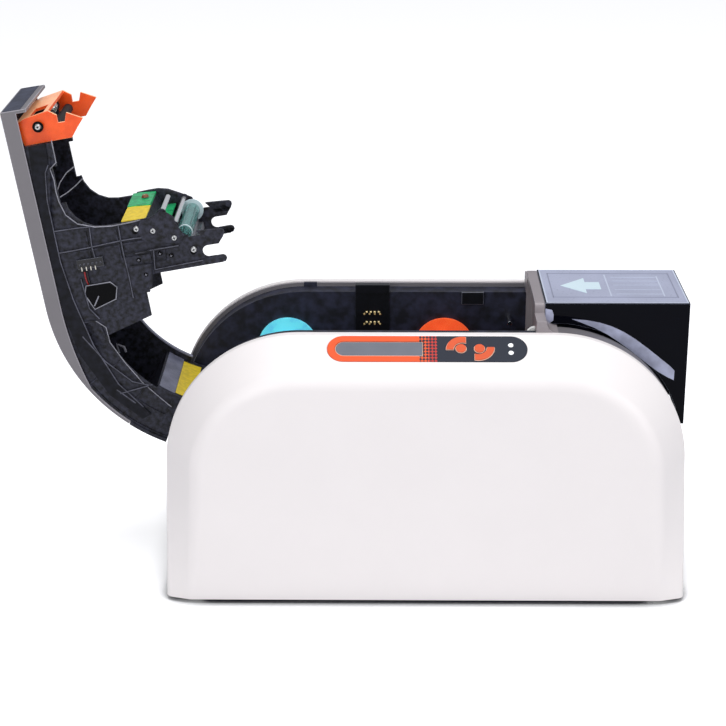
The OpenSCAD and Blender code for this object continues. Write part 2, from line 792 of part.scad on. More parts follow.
module ribbon_motors()
  color("silver") for (side = [-1, 1])
    tube_blind(platen_x + side * hub_reach, pinion_z, 12, pinion_r + fit);

module tube_blind(x, z, r, bore)
  difference() {
    bar(x, z, r, plate_y + 1.5, motor_end);
    bar(x, z, bore, plate_y, plate_y + 12);
  }

// Involute gear outline: teeth of module m, thinned by the backlash
function involute(rb, t) = rb * [cos(t) + t * PI / 180 * sin(t), sin(t) - t * PI / 180 * cos(t)];

module gear(teeth, turn, backlash = 0.12) {
  rp = gear_m * teeth / 2;
  rb = rp * cos(20);
  ra = rp + gear_m;
  rf = rp - 1.25 * gear_m;
  t_tip = sqrt(pow(ra / rb, 2) - 1) * 180 / PI;
  half = 90 / teeth - backlash / rp * 90 / PI + (tan(20) * 180 / PI - 20);
  flank = [for (i = [0 : 3]) involute(rb, t_tip * i / 3)];
  union() {
    circle(rf, $fn = teeth * 2);
    for (k = [0 : teeth - 1]) rotate(turn + k * 360 / teeth) polygon(concat(
      [[rf * 0.9, -rf * 0.9 * tan(half)]],
      [for (p = flank) [p[0] * cos(half) + p[1] * sin(half), -p[0] * sin(half) + p[1] * cos(half)]],
      [for (i = [3 : -1 : 0]) let (p = flank[i])
        [p[0] * cos(half) + p[1] * sin(half), p[0] * sin(half) - p[1] * cos(half)]],
      [[rf * 0.9, rf * 0.9 * tan(half)]]));
  }
}

// Coloured disc in the bay, shaft through the rear wall, gear behind it
module hub(side) {
  x = platen_x + side * hub_reach;
  bar(x, hub_z, hub_r, bay_y - 2.6, bay_y - gap);
  bar(x, hub_z, 8, bay_y - 16, bay_y - 2.6);
  bar(x, hub_z, hub_shaft_r, bay_y - 16, belt_y + gear_w);
  for (a = [0 : 60 : 300]) translate([x, 0, hub_z]) rotate([0, a, 0])
    translate([7, bay_y - 15, -0.8]) cube([2.2, 12.5, 1.6]);
  front_cut(belt_y, belt_y + gear_w) translate([x, hub_z]) gear(gear_teeth, 0);
}

module supply_hub() color("deepskyblue") hub(-1);
module takeup_hub() color("orangered") hub(1);

module supply_pinion() color("goldenrod") pinion(-1);
module takeup_pinion() color("goldenrod") pinion(1);

module pinion(side) {
  x = platen_x + side * hub_reach;
  front_cut(belt_y, belt_y + gear_w) translate([x, pinion_z])
    gear(pinion_teeth, pinion_teeth % 2 == 0 ? 180 / pinion_teeth : 0);
  bar(x, pinion_z, pinion_r, belt_y, plate_y + 1.5 + 9);
}

// Main board on stand-offs from the front chassis wall, and the key board under the panel
module circuit_boards() {
  y = -wall_y - 6;
  board_l = 170;
  board_h = 60;
  x0 = platen_x - 70;
  z0 = plate_top + 6;
  color([0.1, 0.4, 0.25]) {
    translate([x0, y - board_t, z0]) cube([board_l, board_t, board_h]);
    for (x = [x0 + 5, x0 + board_l - 5], z = [z0 + 5, z0 + board_h - 5]) bar(x, z, 2.5, y, -wall_y);
    for (i = [0 : 3]) translate([x0 + 22 + 38 * i, y - board_t - 2.4, z0 + 14 + 8 * (i % 2)])
      cube([14 + 4 * (i % 2), 2.4, 14]);
    for (i = [0 : 2]) translate([x0 + 30 + 44 * i, y - board_t - 8, z0 + 44])
      cube([22, 8, 7]);
    on_shoulder() {
      translate([0, 0, board_top - board_t]) linear_extrude(board_t)
        stadium(bezel_l - 8, bezel_w - 8);
      for (i = [-2, -1, 1, 2])
        translate([button_x + (abs(i) == 1 ? i * button_gap : i * 6), 0, board_top])
          translate([-1.5, abs(i) == 1 ? -1.5 : -1.5 - sign(i) * 6.5, -0.1]) cube([3, 3, 2.1]);
    }
  }
}

// ---------------------------------------------------------------- cover

// Outline of the closed cover, drawn in by inset and ending at angle a1 round the arc
module cover_outline(inset, a1)
  union() {
    translate([arc_x, arc_z]) intersection() {
      circle(cover_r - inset, $fn = 96);
      slice(90, a1, cover_r);
    }
    translate([arc_x, arc_z]) square([cover_tip - arc_x, cover_r - inset]);
  }

// The skirt's lower edge: level along the top, then an arc that meets the shell at skirt_end
skirt_e = cover_r * [cos(skirt_end), sin(skirt_end)];
skirt_c = (pow(cover_r, 2) - pow(cover_r - skirt, 2)) / (2 * (skirt_e[1] - (cover_r - skirt)));

module skirt_area()
  difference() {
    cover_outline(0, shell_end);
    translate([arc_x, arc_z + skirt_c]) circle(cover_r - skirt - skirt_c, $fn = 128);
    translate([arc_x, 0]) square([2 * body_l, cover_top - skirt]);
    translate([-2 * body_l, -body_h]) square([4 * body_l, body_h + arc_z]);
  }

module cover_shell()
  color([0.46, 0.45, 0.46]) opened() {
    front_cut(-cover_y, cover_y) difference() {
      cover_outline(0, shell_end);
      cover_outline(shell_t, 180);
    }
    both_sides() front_cut(cover_y - 1.5, cover_y) skirt_area();
    translate([cover_tip - shell_t, -cover_y, cover_top - 18.5]) cube([shell_t, cover_w, 18.5]);
  }

// Key points of the side wall, measured from the platen axis
function at_head(p) = [platen_x + p[0], platen_z + p[1]];
wall_x1 = cover_tip - 27;
scoop_z = 93;
fork_w = 8.6;
slot = at_head([-1.35, -0.4]);

// The hollow between the head and the latch, with a step in its upper edge
module scoop(grow)
  union() {
    polygon(rounded([for (p = [[28.8 - grow, 52], [28.8 - grow, scoop_z + grow],
        [200, scoop_z + grow], [200, 52]]) at_head(p)], [0, 24 + grow, 0, 0]));
    translate(at_head([50, 80])) square([27, scoop_z + 3.4 + grow - 80]);
  }

module side_wall_outline() {
  difference() {
    union() {
      translate([arc_x, arc_z]) ring_part(arm_r, skin_r, 100, skin_end);
      translate([arc_x, arc_z]) intersection() {
        circle(skin_r, $fn = 96);
        slice(88, 106, skin_r);
        translate([-60, 60]) square([62, 90]);
      }
      polygon([for (p = [[-44, 85.5], [-34, 63], [-24.3, 61.6], [-24.4, 46.9], [-11.7, 45],
            [-11.1, -9], [-9.6, -11.8], [-8.2, -11.6], [-5.65, -5.2], [2.95, -5.2], [2.95, -8.6],
            [7.6, -12.2], [10.9, -8.6], [10.9, 10.5], [15.9, 18.5], [16.4, 21.5], [25.9, 23.5],
            [29.9, 30], [29.4, 39], [28.9, 51.5], [28.9, 110], [-44, 110]]) at_head(p)]);
      translate([arc_x, platen_z + 58.5])
        square([wall_x1 - arc_x, cover_top - shell_t - platen_z - 58.5]);
      for (p = guide_spots) translate(at_head(p)) circle(guide_r + 1.6);
    }
    for (p = guide_spots) translate(at_head(p)) circle(guide_r);
    scoop(0);
    translate(slot) circle(fork_w / 2);
    translate([slot[0] - fork_w / 2, slot[1] - 20]) square([fork_w, 20]);
    translate(at_head([-18, 82.5])) window_outline();
    translate([-2 * body_l, cover_top - shell_t]) square([4 * body_l, 20]);
    translate([arc_x, arc_z]) difference() {
      translate([-cover_r * 2, 0]) square([2 * cover_r, 2 * cover_r]);
      circle(skin_r, $fn = 96);
    }
    translate([hinge_x, hinge_z]) circle(pin_r + fit);
  }
}

module window_outline()
  polygon([[-13, 8], [-7.5, -8.8], [4.5, -9.8], [6.7, 8]]);

// Raised ribs on the outer faces of the side walls
module wall_ribs() {
  intersection() {
    side_wall_outline();
    union() {
      for (r = [[[2, 83], [27, 84.2]], [[-24, 61.4], [25, 62.4]], [[12.5, 63], [13.7, 102]],
          [[13, 28], [14.2, 63]], [[-25, 41], [4, 42.2]], [[-40, 90], [-39, 104]]])
        translate(at_head(r[0])) square(r[1] - r[0]);
      translate([arc_x, arc_z]) ring_part(arm_r, arm_r + 1.2, 100, skin_end);
      translate([arc_x, arc_z]) ring_part(arm_r + 15, arm_r + 16, 112, skin_end);
      difference() { scoop(1.2); scoop(0); }
      for (a = [38, 23]) translate([arc_x, arc_z]) rotate(hinge_a - a) translate([arm_r, -0.5])
        square([skin_r - arm_r, 1]);
    }
  }
}

module connector_area(grow)
  translate(at_head([0.5 - grow, 75 - grow])) square([7 + 2 * grow, 19 + 2 * grow]);

module cover_frame() {
  top_z = cover_top - shell_t;
  color([0.14, 0.14, 0.18]) opened() difference() {
    union() {
      both_sides() {
        front_cut(wall_in, wall_in + frame_t) side_wall_outline();
        front_cut(wall_in + frame_t, frame_y) difference() {
          wall_ribs();
          connector_area(seam);
        }
        front_cut(wall_in + frame_t, frame_y) intersection() {
          side_wall_outline();
          translate(at_head([-24.4, 41.5])) square([28, 20]);
        }
      }
      front_cut(-cover_y, cover_y) translate([arc_x, arc_z])
        ring_part(skin_r, cover_r, shell_end + 0.2, skin_end);
      front_cut(-frame_y, frame_y) translate([arc_x, arc_z]) {
        ring_part(skin_r - 1.5, skin_r, 92, skin_end);
        ring_part(floor_r, arm_r + 0.3, hinge_a - 19, hinge_a);
      }
      bar(hinge_x, hinge_z, tube_r, -frame_y, frame_y);
      both_sides() front_cut(wall_in, frame_y) translate([arc_x, arc_z])
        ring_part(arm_r, arm_r + 22, hinge_a - 11, hinge_a + 1);
      both_sides() front_cut(latch_y - gap - lug_t, latch_y - gap) {
        translate([latch_x, latch_z]) circle(4.4);
        translate([latch_x - 7, latch_z - 3]) square([5.6, top_z - latch_z + 3]);
      }
      front_cut(-wall_in, wall_in) {
        translate([arc_x, arc_z]) rotate(hinge_a - 19) translate([floor_r, -0.8])
          square([skin_r - floor_r - 0.5, 1.6]);
        translate([arc_x, arc_z]) rotate(108) translate([skin_r - 14, -0.8]) square([13.5, 1.6]);
        translate([wall_x1 - 2, cover_top - 16]) square([2, 16 - shell_t]);
        translate([arc_x, top_z - 1.5]) square([cover_tip - shell_t - arc_x, 1.5]);
        translate([arc_x, top_z - 14]) square([2, 14]);
      }
    }
    bar(hinge_x, hinge_z, pin_r + fit, -frame_y - cut, frame_y + cut);
    both_sides() bar(latch_x, latch_z, 1.5, latch_y - lug_t - cut, latch_y);
  }
}

// Cross members that carry the print head between the side walls
module head_carrier()
  color([0.17, 0.17, 0.2]) opened() front_cut(-wall_in, wall_in) {
    polygon([for (p = [[-10, 30], [-10, 45], [23, 58], [29, 52], [28, 40], [24.4, 39], [7, 30]])
      at_head(p)]);
    polygon([for (p = [[-24, 60], [-24, 63], [12, 66], [29, 57], [28.8, 51], [23, 54]]) at_head(p)]);
  }

module print_head() {
  head_y = card_w / 2 + 3;
  color("silver") opened() {
    front_cut(-head_y, head_y) difference() {
      translate([platen_x - 7, card_z + card_t + 3]) square([14, platen_z + 30 - card_z - card_t - 3]);
      for (i = [0 : 2]) translate([platen_x - 7 - cut, card_z + card_t + 7 + 4 * i])
        square([4 + cut, 2]);
    }
    front_cut(-head_y, head_y) translate([platen_x - 2.5, card_z + card_t]) square([5, 4]);
  }
}

guide_r = 1.8;
guide_spots = [[30.9, 27.5], [20.5, 20.5]];

module guide_shafts()
  color("silver") opened() for (p = guide_spots)
    bar(at_head(p)[0], at_head(p)[1], guide_r, -wall_in - frame_t, wall_in + frame_t);

// Outline of a thin plate on the head carrier's upper face
module head_plate(t)
  polygon([for (p = [[28, 40], [29, 52], [29, 57], [29 + t, 57], [29 + t, 52], [28 + t, 40]])
    at_head(p)]);

module head_board()
  color("mediumseagreen") opened() front_cut(0, wall_in) {
    head_plate(board_t);
    polygon([for (p = [[17, 27], [18.2, 27], [18.2, 35.7], [17, 35.1]]) at_head(p)]);
  }

module cover_connector()
  color([0.1, 0.1, 0.12]) opened() {
    front_cut(-wall_in - frame_t - 2.6, -wall_in - frame_t) connector_area(0);
    for (i = [0 : 5]) translate([platen_x + 3.5, -wall_in - frame_t - 4.4, platen_z + 76.5 + 3 * i])
      cube([0.8, 1.8, 0.8]);
  }

module cover_screws()
  color("silver") opened() {
    both_sides() for (p = [[21.4, 48.5], [17.9, 36], [10.3, 22.2], [-0.1, 10.5]])
      bar(at_head(p)[0], at_head(p)[1], 1.9, frame_y - rib_h, frame_y + 0.2);
    both_sides() {
      bar(latch_x, latch_z, 3.2, latch_y + latch_t + gap, latch_y + latch_t + 2);
      bar(latch_x, latch_z, 1.5, latch_y - gap - lug_t, latch_y + latch_t + gap);
    }
  }

// Plain yellow stickers: one by the head board, one on the arm's floor beside the hinge
module cover_labels()
  color("gold") opened() {
    front_cut(-wall_in, 0) head_plate(0.8);
    front_cut(-wall_in + 2, wall_in - 4) translate([arc_x, arc_z])
      ring_part(floor_r - 0.3, floor_r, hinge_a - 11, hinge_a - 2.7);
  }

// ---------------------------------------------------------------- latch

latch_x = cover_tip - 14.7;
latch_z = cover_top - 23.3;
latch_y = 33;
latch_t = 2;
lug_t = 4;

function at_latch(p) = [latch_x + p[0], latch_z + p[1]];

// Hooked side plates joined by a finger bridge, with a window for the roller behind it
module cover_latch()
  color("orangered") opened() difference() {
    union() {
      both_sides() front_cut(latch_y, latch_y + latch_t)
        polygon([for (p = [[3.5, 16.3], [-12.3, 12.5], [-11.6, -21.6], [-5.7, -26.4], [0.6, -32],
            [6.4, -21.2], [0.2, -18.9], [0.2, -14.1], [5.6, -14.2], [9.7, -8.7], [6.7, 9]])
          at_latch(p)]);
      front_cut(-latch_y, latch_y) polygon([for (p = [[3.5, 16.3], [1.5, 16.2], [4.7, 8.6],
          [7.6, -8.9], [9.7, -8.7], [6.7, 9]]) at_latch(p)]);
    }
    bar(latch_x, latch_z, 1.5 + fit, -latch_y - 5, -latch_y + cut);
    bar(latch_x, latch_z, 1.5 + fit, latch_y - cut, latch_y + 5);
    translate([latch_x, -latch_y, latch_z - 5]) cube([12, 0.75 * latch_y, 10]);
  }

module latch_roller()
  color([0.1, 0.1, 0.1]) opened()
    bar(at_latch([-4, -10])[0], at_latch([-4, -10])[1], 3.4, -latch_y, latch_y);

// Torsion spring on a boss inside each pivot lug
module latch_spring() {
  boss_r = 2.6;
  wire_r = 0.65;
  y = latch_y - gap - lug_t;
  color("silver") opened() both_sides() {
    for (i = [0 : 3]) translate([latch_x, y - wire_r - 1.2 * i, latch_z]) rotate([90, 0, 0])
      rotate_extrude() translate([boss_r + 0.9 * wire_r, 0]) circle(wire_r, $fn = 16);
    bar(latch_x, latch_z, boss_r, y - 6, y);
  }
}

ribbon_x = 12.9;
ribbon_z = 14.8;

module ribbon_roller()
  color([0.5, 0.75, 0.75, 0.8]) opened()
    bar(at_head([ribbon_x, ribbon_z])[0], at_head([ribbon_x, ribbon_z])[1], 5.5, -30, 30);

// ---------------------------------------------------------------- hopper

// Side outline of the lid: its lower edge follows the housing's arch
module lid_outline()
  difference() {
    translate([lid_x0, lid_hinge_z + 1]) square([lid_x1 - lid_x0, lid_top - lid_hinge_z - 1]);
    loaf(-0.6, 0);
    flare(gap);
  }

module hopper_lid()
  color([0.1, 0.1, 0.16, 0.85]) difference() {
    union() {
      difference() {
        front_cut(-lid_y, lid_y) lid_outline();
        translate([lid_x0 - cut, -lid_y + lid_t, 0])
          cube([lid_x1 - lid_x0 - lid_t + cut, 2 * (lid_y - lid_t), lid_top - lid_t]);
      }
      both_sides() front_cut(lid_y - lid_t, lid_y) union() {
        translate([lid_hinge_x, lid_hinge_z]) circle(4);
        translate([lid_hinge_x, lid_hinge_z]) square([lid_x1 - lid_hinge_x, 12]);
        translate([lid_hinge_x - 4, lid_hinge_z]) square([6, 12]);
      }
    }
    bar(lid_hinge_x, lid_hinge_z, lid_pin_r + fit, -lid_y - cut, lid_y + cut);
  }

module card_weight()
  color([0.3, 0.3, 0.33]) {
    translate([tray_x0 + tray_t + 1, 0.5 - card_w / 2, card_z + card_t])
      cube([card_l - 1, card_w - 1, 4]);
    translate([tray_x0 + card_l / 2, -8, card_z + card_t + 4]) cube([8, 16, 14]);
  }

front_side_panel();
rear_side_panel();
base_plate();
rubber_feet();
front_chassis_wall();
rear_chassis_wall();
rim_strips();
hinge_end_cover();
hopper_end_cover();
hopper_frame();
hopper_tray();
card_deck();
control_bezel();
display_window();
status_lights();
contact_board();
contact_pins();
sensor_pad();
catch_pins();
shaft_bushes();
drive_plate();
drive_motor();
ribbon_motors();
drive_belt();
power_inlet();
usb_socket();
circuit_boards();
hinge_pins();
case_screws();
cover_shell();
cover_frame();
head_carrier();
print_head();
head_board();
guide_shafts();
cover_connector();
cover_screws();
cover_labels();
latch_spring();
cover_latch();
latch_roller();
ribbon_roller();
hopper_lid();
card_weight();
platen_roller();
platen_shaft();
feed_roller();
pick_roller();
exit_roller();
drive_pulley();
supply_hub();
takeup_hub();
supply_pinion();
takeup_pinion();
idler_wheel();
menu_button();
enter_button();
cancel_button();
scroll_button();
power_switch();
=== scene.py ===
import json
import math

import bmesh
import bpy
from mathutils import Matrix, Vector


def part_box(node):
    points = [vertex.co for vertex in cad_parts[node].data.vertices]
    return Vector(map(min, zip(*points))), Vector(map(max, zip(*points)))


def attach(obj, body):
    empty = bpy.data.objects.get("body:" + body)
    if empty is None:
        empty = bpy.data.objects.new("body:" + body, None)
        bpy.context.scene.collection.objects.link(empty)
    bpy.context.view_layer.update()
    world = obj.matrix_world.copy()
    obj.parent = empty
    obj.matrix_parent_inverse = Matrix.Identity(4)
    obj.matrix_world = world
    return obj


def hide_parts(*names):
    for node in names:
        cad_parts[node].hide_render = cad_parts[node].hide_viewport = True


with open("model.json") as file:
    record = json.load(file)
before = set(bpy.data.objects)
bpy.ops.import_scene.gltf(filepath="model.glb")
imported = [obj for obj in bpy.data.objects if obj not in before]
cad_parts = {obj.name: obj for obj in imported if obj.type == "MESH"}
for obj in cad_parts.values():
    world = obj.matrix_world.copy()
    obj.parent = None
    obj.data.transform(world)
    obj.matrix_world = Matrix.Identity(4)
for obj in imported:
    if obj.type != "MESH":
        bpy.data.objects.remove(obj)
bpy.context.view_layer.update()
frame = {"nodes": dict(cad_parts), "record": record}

# ------------------------------------------------------------------ studio
# A pale sweep under the printer, three soft boxes and an even sky, at a level at which a
# colour renders about as it is written. The camera looks down on the front from a little above.

scene = bpy.context.scene
camera = bpy.data.cameras.new("camera")
camera.lens = 95.37
camera.sensor_width = 36
camera.clip_end = 20
camera_object = bpy.data.objects.new("camera", camera)
camera_object.location = (-0.0352, -1.35335, 0.6413)
camera_object.rotation_euler = (math.radians(70), 0, math.radians(0.449))
scene.collection.objects.link(camera_object)
scene.camera = camera_object
scene.view_settings.view_transform = "Standard"


def linear(hex_colour):
    """An sRGB hex colour as linear red, green, blue and 1."""
    channels = [int(hex_colour[i:i + 2], 16) / 255 for i in (1, 3, 5)]
    return [c / 12.92 if c <= 0.04045 else ((c + 0.055) / 1.055) ** 2.4 for c in channels] + [1]


def add_node(tree, kind, settings=None, **inputs):
    """Adds a node: settings are its own, inputs are values, a socket or a list of sockets to link.

    An input is named with _ for each space, or _ and its number where names repeat.
    """
    node = tree.nodes.new(kind)
    for name, value in (settings or {}).items():
        setattr(node, name, value)
    for name, value in inputs.items():
        key = int(name[1:]) if name[1:].isdigit() else name.replace("_", " ")
        sources = value if isinstance(value, list) else [value]
        if isinstance(sources[0], bpy.types.NodeSocket):
            for source in sources:
                tree.links.new(source, node.inputs[key])
        else:
            node.inputs[key].default_value = value
    return node


def in_view(tree):
    """1 for what the camera sees, straight or through clear plastic, and 0 for other rays."""
    rays = add_node(tree, "ShaderNodeLightPath")
    return add_node(tree, "ShaderNodeMath", {"operation": "MAXIMUM"},
                    _0=rays.outputs["Is Camera Ray"],
                    _1=rays.outputs["Is Transmission Ray"]).outputs[0]


def new_material(name):
    """An empty material and its tree."""
    material = bpy.data.materials.new(name)
    material.use_nodes = True
    material.node_tree.nodes.clear()
    return material, material.node_tree


def soft_box(name, place, size, watts):
    """A rectangular white lamp that faces the middle of the printer."""
    lamp = bpy.data.lights.new(name, "AREA")
    lamp.shape = "RECTANGLE"
    lamp.size, lamp.size_y = size
    lamp.energy = watts
    lamp_object = bpy.data.objects.new(name, lamp)
    lamp_object.location = place
    towards = Vector((0, 0, 0.15)) - Vector(place)
    lamp_object.rotation_euler = towards.to_track_quat("-Z", "Y").to_euler()
    scene.collection.objects.link(lamp_object)


soft_box("overhead_box", (0.1, -0.2, 1.7), (1.6, 1.2), 17)
soft_box("front_box", (-0.9, -1.9, 1.0), (1.2, 1.2), 15)
soft_box("right_box", (1.7, -0.9, 0.9), (0.8, 1.2), 9)

world = bpy.data.worlds.new("studio")
world.use_nodes = True
scene.world = world
sky = world.node_tree
sky.nodes.clear()
dim_sky = add_node(sky, "ShaderNodeBackground", Color=linear("#f4f6ff"), Strength=0.42)
white_sky = add_node(sky, "ShaderNodeBackground", Color=linear("#ffffff"), Strength=1.0)
sky_mix = add_node(sky, "ShaderNodeMixShader", Fac=in_view(sky), _1=dim_sky.outputs[0],
                   _2=white_sky.outputs[0])
add_node(sky, "ShaderNodeOutputWorld", Surface=sky_mix.outputs[0])

floor_mesh = bpy.data.meshes.new("floor")
reach = 6
floor_corners = [(-reach, -reach, 0), (reach, -reach, 0), (reach, reach, 0), (-reach, reach, 0)]
floor_mesh.from_pydata(floor_corners, [], [(0, 1, 2, 3)])
floor = bpy.data.objects.new("floor", floor_mesh)
scene.collection.objects.link(floor)
floor_paper, tree = new_material("white_studio_paper")
# The paper burns out to white, except in the shade round the foot and the dark line under it.
shade = add_node(tree, "ShaderNodeAmbientOcclusion", {"samples": 8}, Distance=0.025)
contact = add_node(tree, "ShaderNodeAmbientOcclusion", {"samples": 8}, Distance=0.013)
close = add_node(tree, "ShaderNodeMapRange", Value=contact.outputs["AO"], From_Min=0.5,
                 From_Max=0.82)
tint = add_node(tree, "ShaderNodeMix", {"data_type": "RGBA"}, Factor=close.outputs[0],
                _6=linear("#3a3a44"), _7=linear("#e9e9ea"))
open_sky = add_node(tree, "ShaderNodeMapRange", Value=shade.outputs["AO"], From_Min=0.25,
                    From_Max=0.95, To_Min=0.0, To_Max=0.6)
lift = add_node(tree, "ShaderNodeMath", {"operation": "MULTIPLY"}, _0=in_view(tree),
                _1=open_sky.outputs[0])
paper = add_node(tree, "ShaderNodeBsdfDiffuse", Color=tint.outputs[2])
glow = add_node(tree, "ShaderNodeEmission", Color=linear("#ffffff"), Strength=lift.outputs[0])
both = add_node(tree, "ShaderNodeAddShader", _0=paper.outputs[0], _1=glow.outputs[0])
add_node(tree, "ShaderNodeOutputMaterial", Surface=both.outputs[0])
floor_mesh.materials.append(floor_paper)

# ------------------------------------------------------------------ base plate and feet
# A pressed pan of galvanised steel that everything is screwed to, on five moulded rubber feet.
# Its surface is the node's own, welded into one skin, with the small radius of a press or mould.

mm = 0.001
slot_of = {part["node"]: part["material_slot"] for part in frame["record"]["subparts"]}
bodies = frame["record"]["behaviour"]["bodies"]
body_of = {node: body for body, nodes in bodies.items() for node in nodes}


def place_piece(piece, body, nodes=()):
    """Puts a finished piece in the scene, on its body, in place of the nodes that it stands for."""
    if piece.name not in scene.collection.objects:
        scene.collection.objects.link(piece)
    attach(piece, body)
    if nodes:
        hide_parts(*nodes)
    return piece


def smooth_shaded(mesh, angle):
    """Shades a mesh smooth, but for its edges sharper than an angle in degrees."""
    for polygon in mesh.polygons:
        polygon.use_smooth = True
    mesh.set_sharp_from_angle(angle=math.radians(angle))


def rounded(piece, radius, angle):
    """Rounds the edges sharper than an angle in degrees to a radius in millimetres."""
    soften = piece.modifiers.new("edge", "BEVEL")
    soften.width = radius * mm
    soften.segments = 2
    soften.limit_method = "ANGLE"
    soften.angle_limit = math.radians(angle)
    soften.harden_normals = True
    return soften


sharp_edge = 32


def welded_piece(node, material, edge=0.3, worn=None):
    """The node's own surface with rounded edges, edge in millimetres; worn is their colour, on most
    pieces a painted highlight.
    """
    mesh = frame["nodes"][node].data.copy()
    mesh.name = node + "_skin"
    bm = bmesh.new()
    bm.from_mesh(mesh)
    bmesh.ops.remove_doubles(bm, verts=bm.verts, dist=0.002 * mm)
    bmesh.ops.dissolve_limit(bm, angle_limit=math.radians(0.4), verts=bm.verts, edges=bm.edges)
    bm.to_mesh(mesh)
    bm.free()
    mesh.materials.clear()
    mesh.materials.append(material)
    smooth_shaded(mesh, sharp_edge)
    piece = bpy.data.objects.new(node + "_piece", mesh)
    if edge:
        soften = rounded(piece, edge, sharp_edge)
        if worn:
            mesh.materials.append(worn)
            soften.material = 1
    return place_piece(piece, body_of[node], [node])


def metal(name, colour, rough, streak=(1, 1, 1), streak_mm=0.4, bright=1.0):
    """Bare or plated metal with the fine marks that turning or rolling leaves along it.

    streak_mm is drawn coarser than real tool marks, which would be too fine to show.
    """
    material, tree = new_material(name)
    place = add_node(tree, "ShaderNodeTexCoord")
    stretch = add_node(tree, "ShaderNodeMapping", Vector=place.outputs["Object"], Scale=streak)
    marks = add_node(tree, "ShaderNodeTexNoise", Vector=stretch.outputs[0],
                     Scale=1 / (streak_mm * mm), Detail=3.0)
    gloss = add_node(tree, "ShaderNodeMapRange", Value=marks.outputs["Fac"], From_Min=0.3,
                     From_Max=0.7, To_Min=rough * 0.7, To_Max=rough * 1.3)
    bump = add_node(tree, "ShaderNodeBump", Height=marks.outputs["Fac"], Strength=0.1,
                    Distance=0.02 * mm)
    shader = add_node(tree, "ShaderNodeBsdfPrincipled", Base_Color=linear(colour),
                      Metallic=bright, Roughness=gloss.outputs[0], Normal=bump.outputs[0])
    add_node(tree, "ShaderNodeOutputMaterial", Surface=shader.outputs[0])
    return material


def moulded_plastic(name, colour, rough, grain_mm=0.5, depth=0.15, tone=0.03, drift_mm=45,
                    specular=0.5, glow=0.0, lit=0.0):
    """Injection-moulded plastic: spark-eroded grain in the gloss and a drift of colour.

    grain_mm is drawn coarser than real spark grain, which would be too fine to show. tone is how
    far the colour drifts, drift_mm how wide its patches are, and glow is the share of light that
    a bright plastic scatters under its skin; lit is a painted glow, an emission in the plastic's
    colour.
    """
    material, tree = new_material(name)
    place = add_node(tree, "ShaderNodeTexCoord")
    grain = add_node(tree, "ShaderNodeTexNoise", Vector=place.outputs["Object"],
                     Scale=1 / (grain_mm * mm), Detail=3.0, Roughness=0.6)
    drift = add_node(tree, "ShaderNodeTexNoise", Vector=place.outputs["Object"],
                     Scale=1 / (drift_mm * mm), Detail=4.0)
    patch = add_node(tree, "ShaderNodeMapRange", Value=drift.outputs["Fac"], From_Min=0.35,
                     From_Max=0.65)
    dark = [c * (1 - tone) for c in linear(colour)[:3]] + [1]
    light = [min(1, c * (1 + tone)) for c in linear(colour)[:3]] + [1]
    blend = add_node(tree, "ShaderNodeMix", {"data_type": "RGBA"}, Factor=patch.outputs[0],
                     _6=dark, _7=light).outputs[2]
    gloss = add_node(tree, "ShaderNodeMapRange", Value=grain.outputs["Fac"], From_Min=0.3,
                     From_Max=0.7, To_Min=rough * 0.88, To_Max=min(1, rough * 1.12))
    bump = add_node(tree, "ShaderNodeBump", Height=grain.outputs["Fac"], Strength=depth,
                    Distance=0.05 * mm)
    shader = add_node(tree, "ShaderNodeBsdfPrincipled", Base_Color=blend,
                      Roughness=gloss.outputs[0], Normal=bump.outputs[0],
                      Specular_IOR_Level=specular)
    if glow:
        shader.inputs["Subsurface Weight"].default_value = glow
        shader.inputs["Subsurface Radius"].default_value = (1.0, 1.0, 1.0)
        shader.inputs["Subsurface Scale"].default_value = 3 * mm
    if lit:
        tree.links.new(blend, shader.inputs["Emission Color"])
        shader.inputs["Emission Strength"].default_value = lit
    add_node(tree, "ShaderNodeOutputMaterial", Surface=shader.outputs[0])
    return material


# Galvanised sheet has a dull spangle of zinc; silicone rubber is matt and swallows light.
galvanised_sheet = metal("galvanised_sheet", "#b3b6ba", 0.36, streak=(0.4, 4, 4), streak_mm=2)
black_rubber = moulded_plastic("black_silicone_rubber", "#161618", 0.7, grain_mm=0.4, depth=0.35,
                               tone=0.1)
welded_piece("base_plate", galvanised_sheet, 0.2)
welded_piece("rubber_feet", black_rubber, 0.3)

# ------------------------------------------------------------------ chassis
# Two side walls, the card deck and the hopper's tray, moulded in glass-filled black ABS that
# looks navy where light grazes it. The walls stand on the base plate and carry every shaft.

# Glass-filled ABS: cloudy flow marks 6 mm wide over a fine grain; the paler edges that some of its
# pieces get are a painted highlight.
chassis_abs = moulded_plastic("glass_filled_abs_chassis", "#1e2030", 0.5, grain_mm=0.8, depth=0.25,
                              tone=0.65, drift_mm=7, specular=0.45)
# Black solder mask is a deep even gloss. Rounded edges of black parts are painted pale grey as a
# highlight.
board_black = moulded_plastic("black_solder_mask", "#0b0c12", 0.35, grain_mm=1.5, tone=0.3,
                              drift_mm=5)
black_abs_edge_highlight = moulded_plastic("painted_highlight_edge_of_black_abs", "#565864", 0.38, grain_mm=0.6, tone=0.3,
                           drift_mm=6)
for node in ("front_chassis_wall", "rear_chassis_wall", "card_deck", "hopper_tray"):
    welded_piece(node, chassis_abs, 0.25)

# ------------------------------------------------------------------ rollers and belt drive
# Rubber-tyred rollers on ground steel shafts run in sintered bronze bushes. A toothed rubber belt
# from the motor's alloy pulley drives them all, on a galvanised plate behind the rear wall.

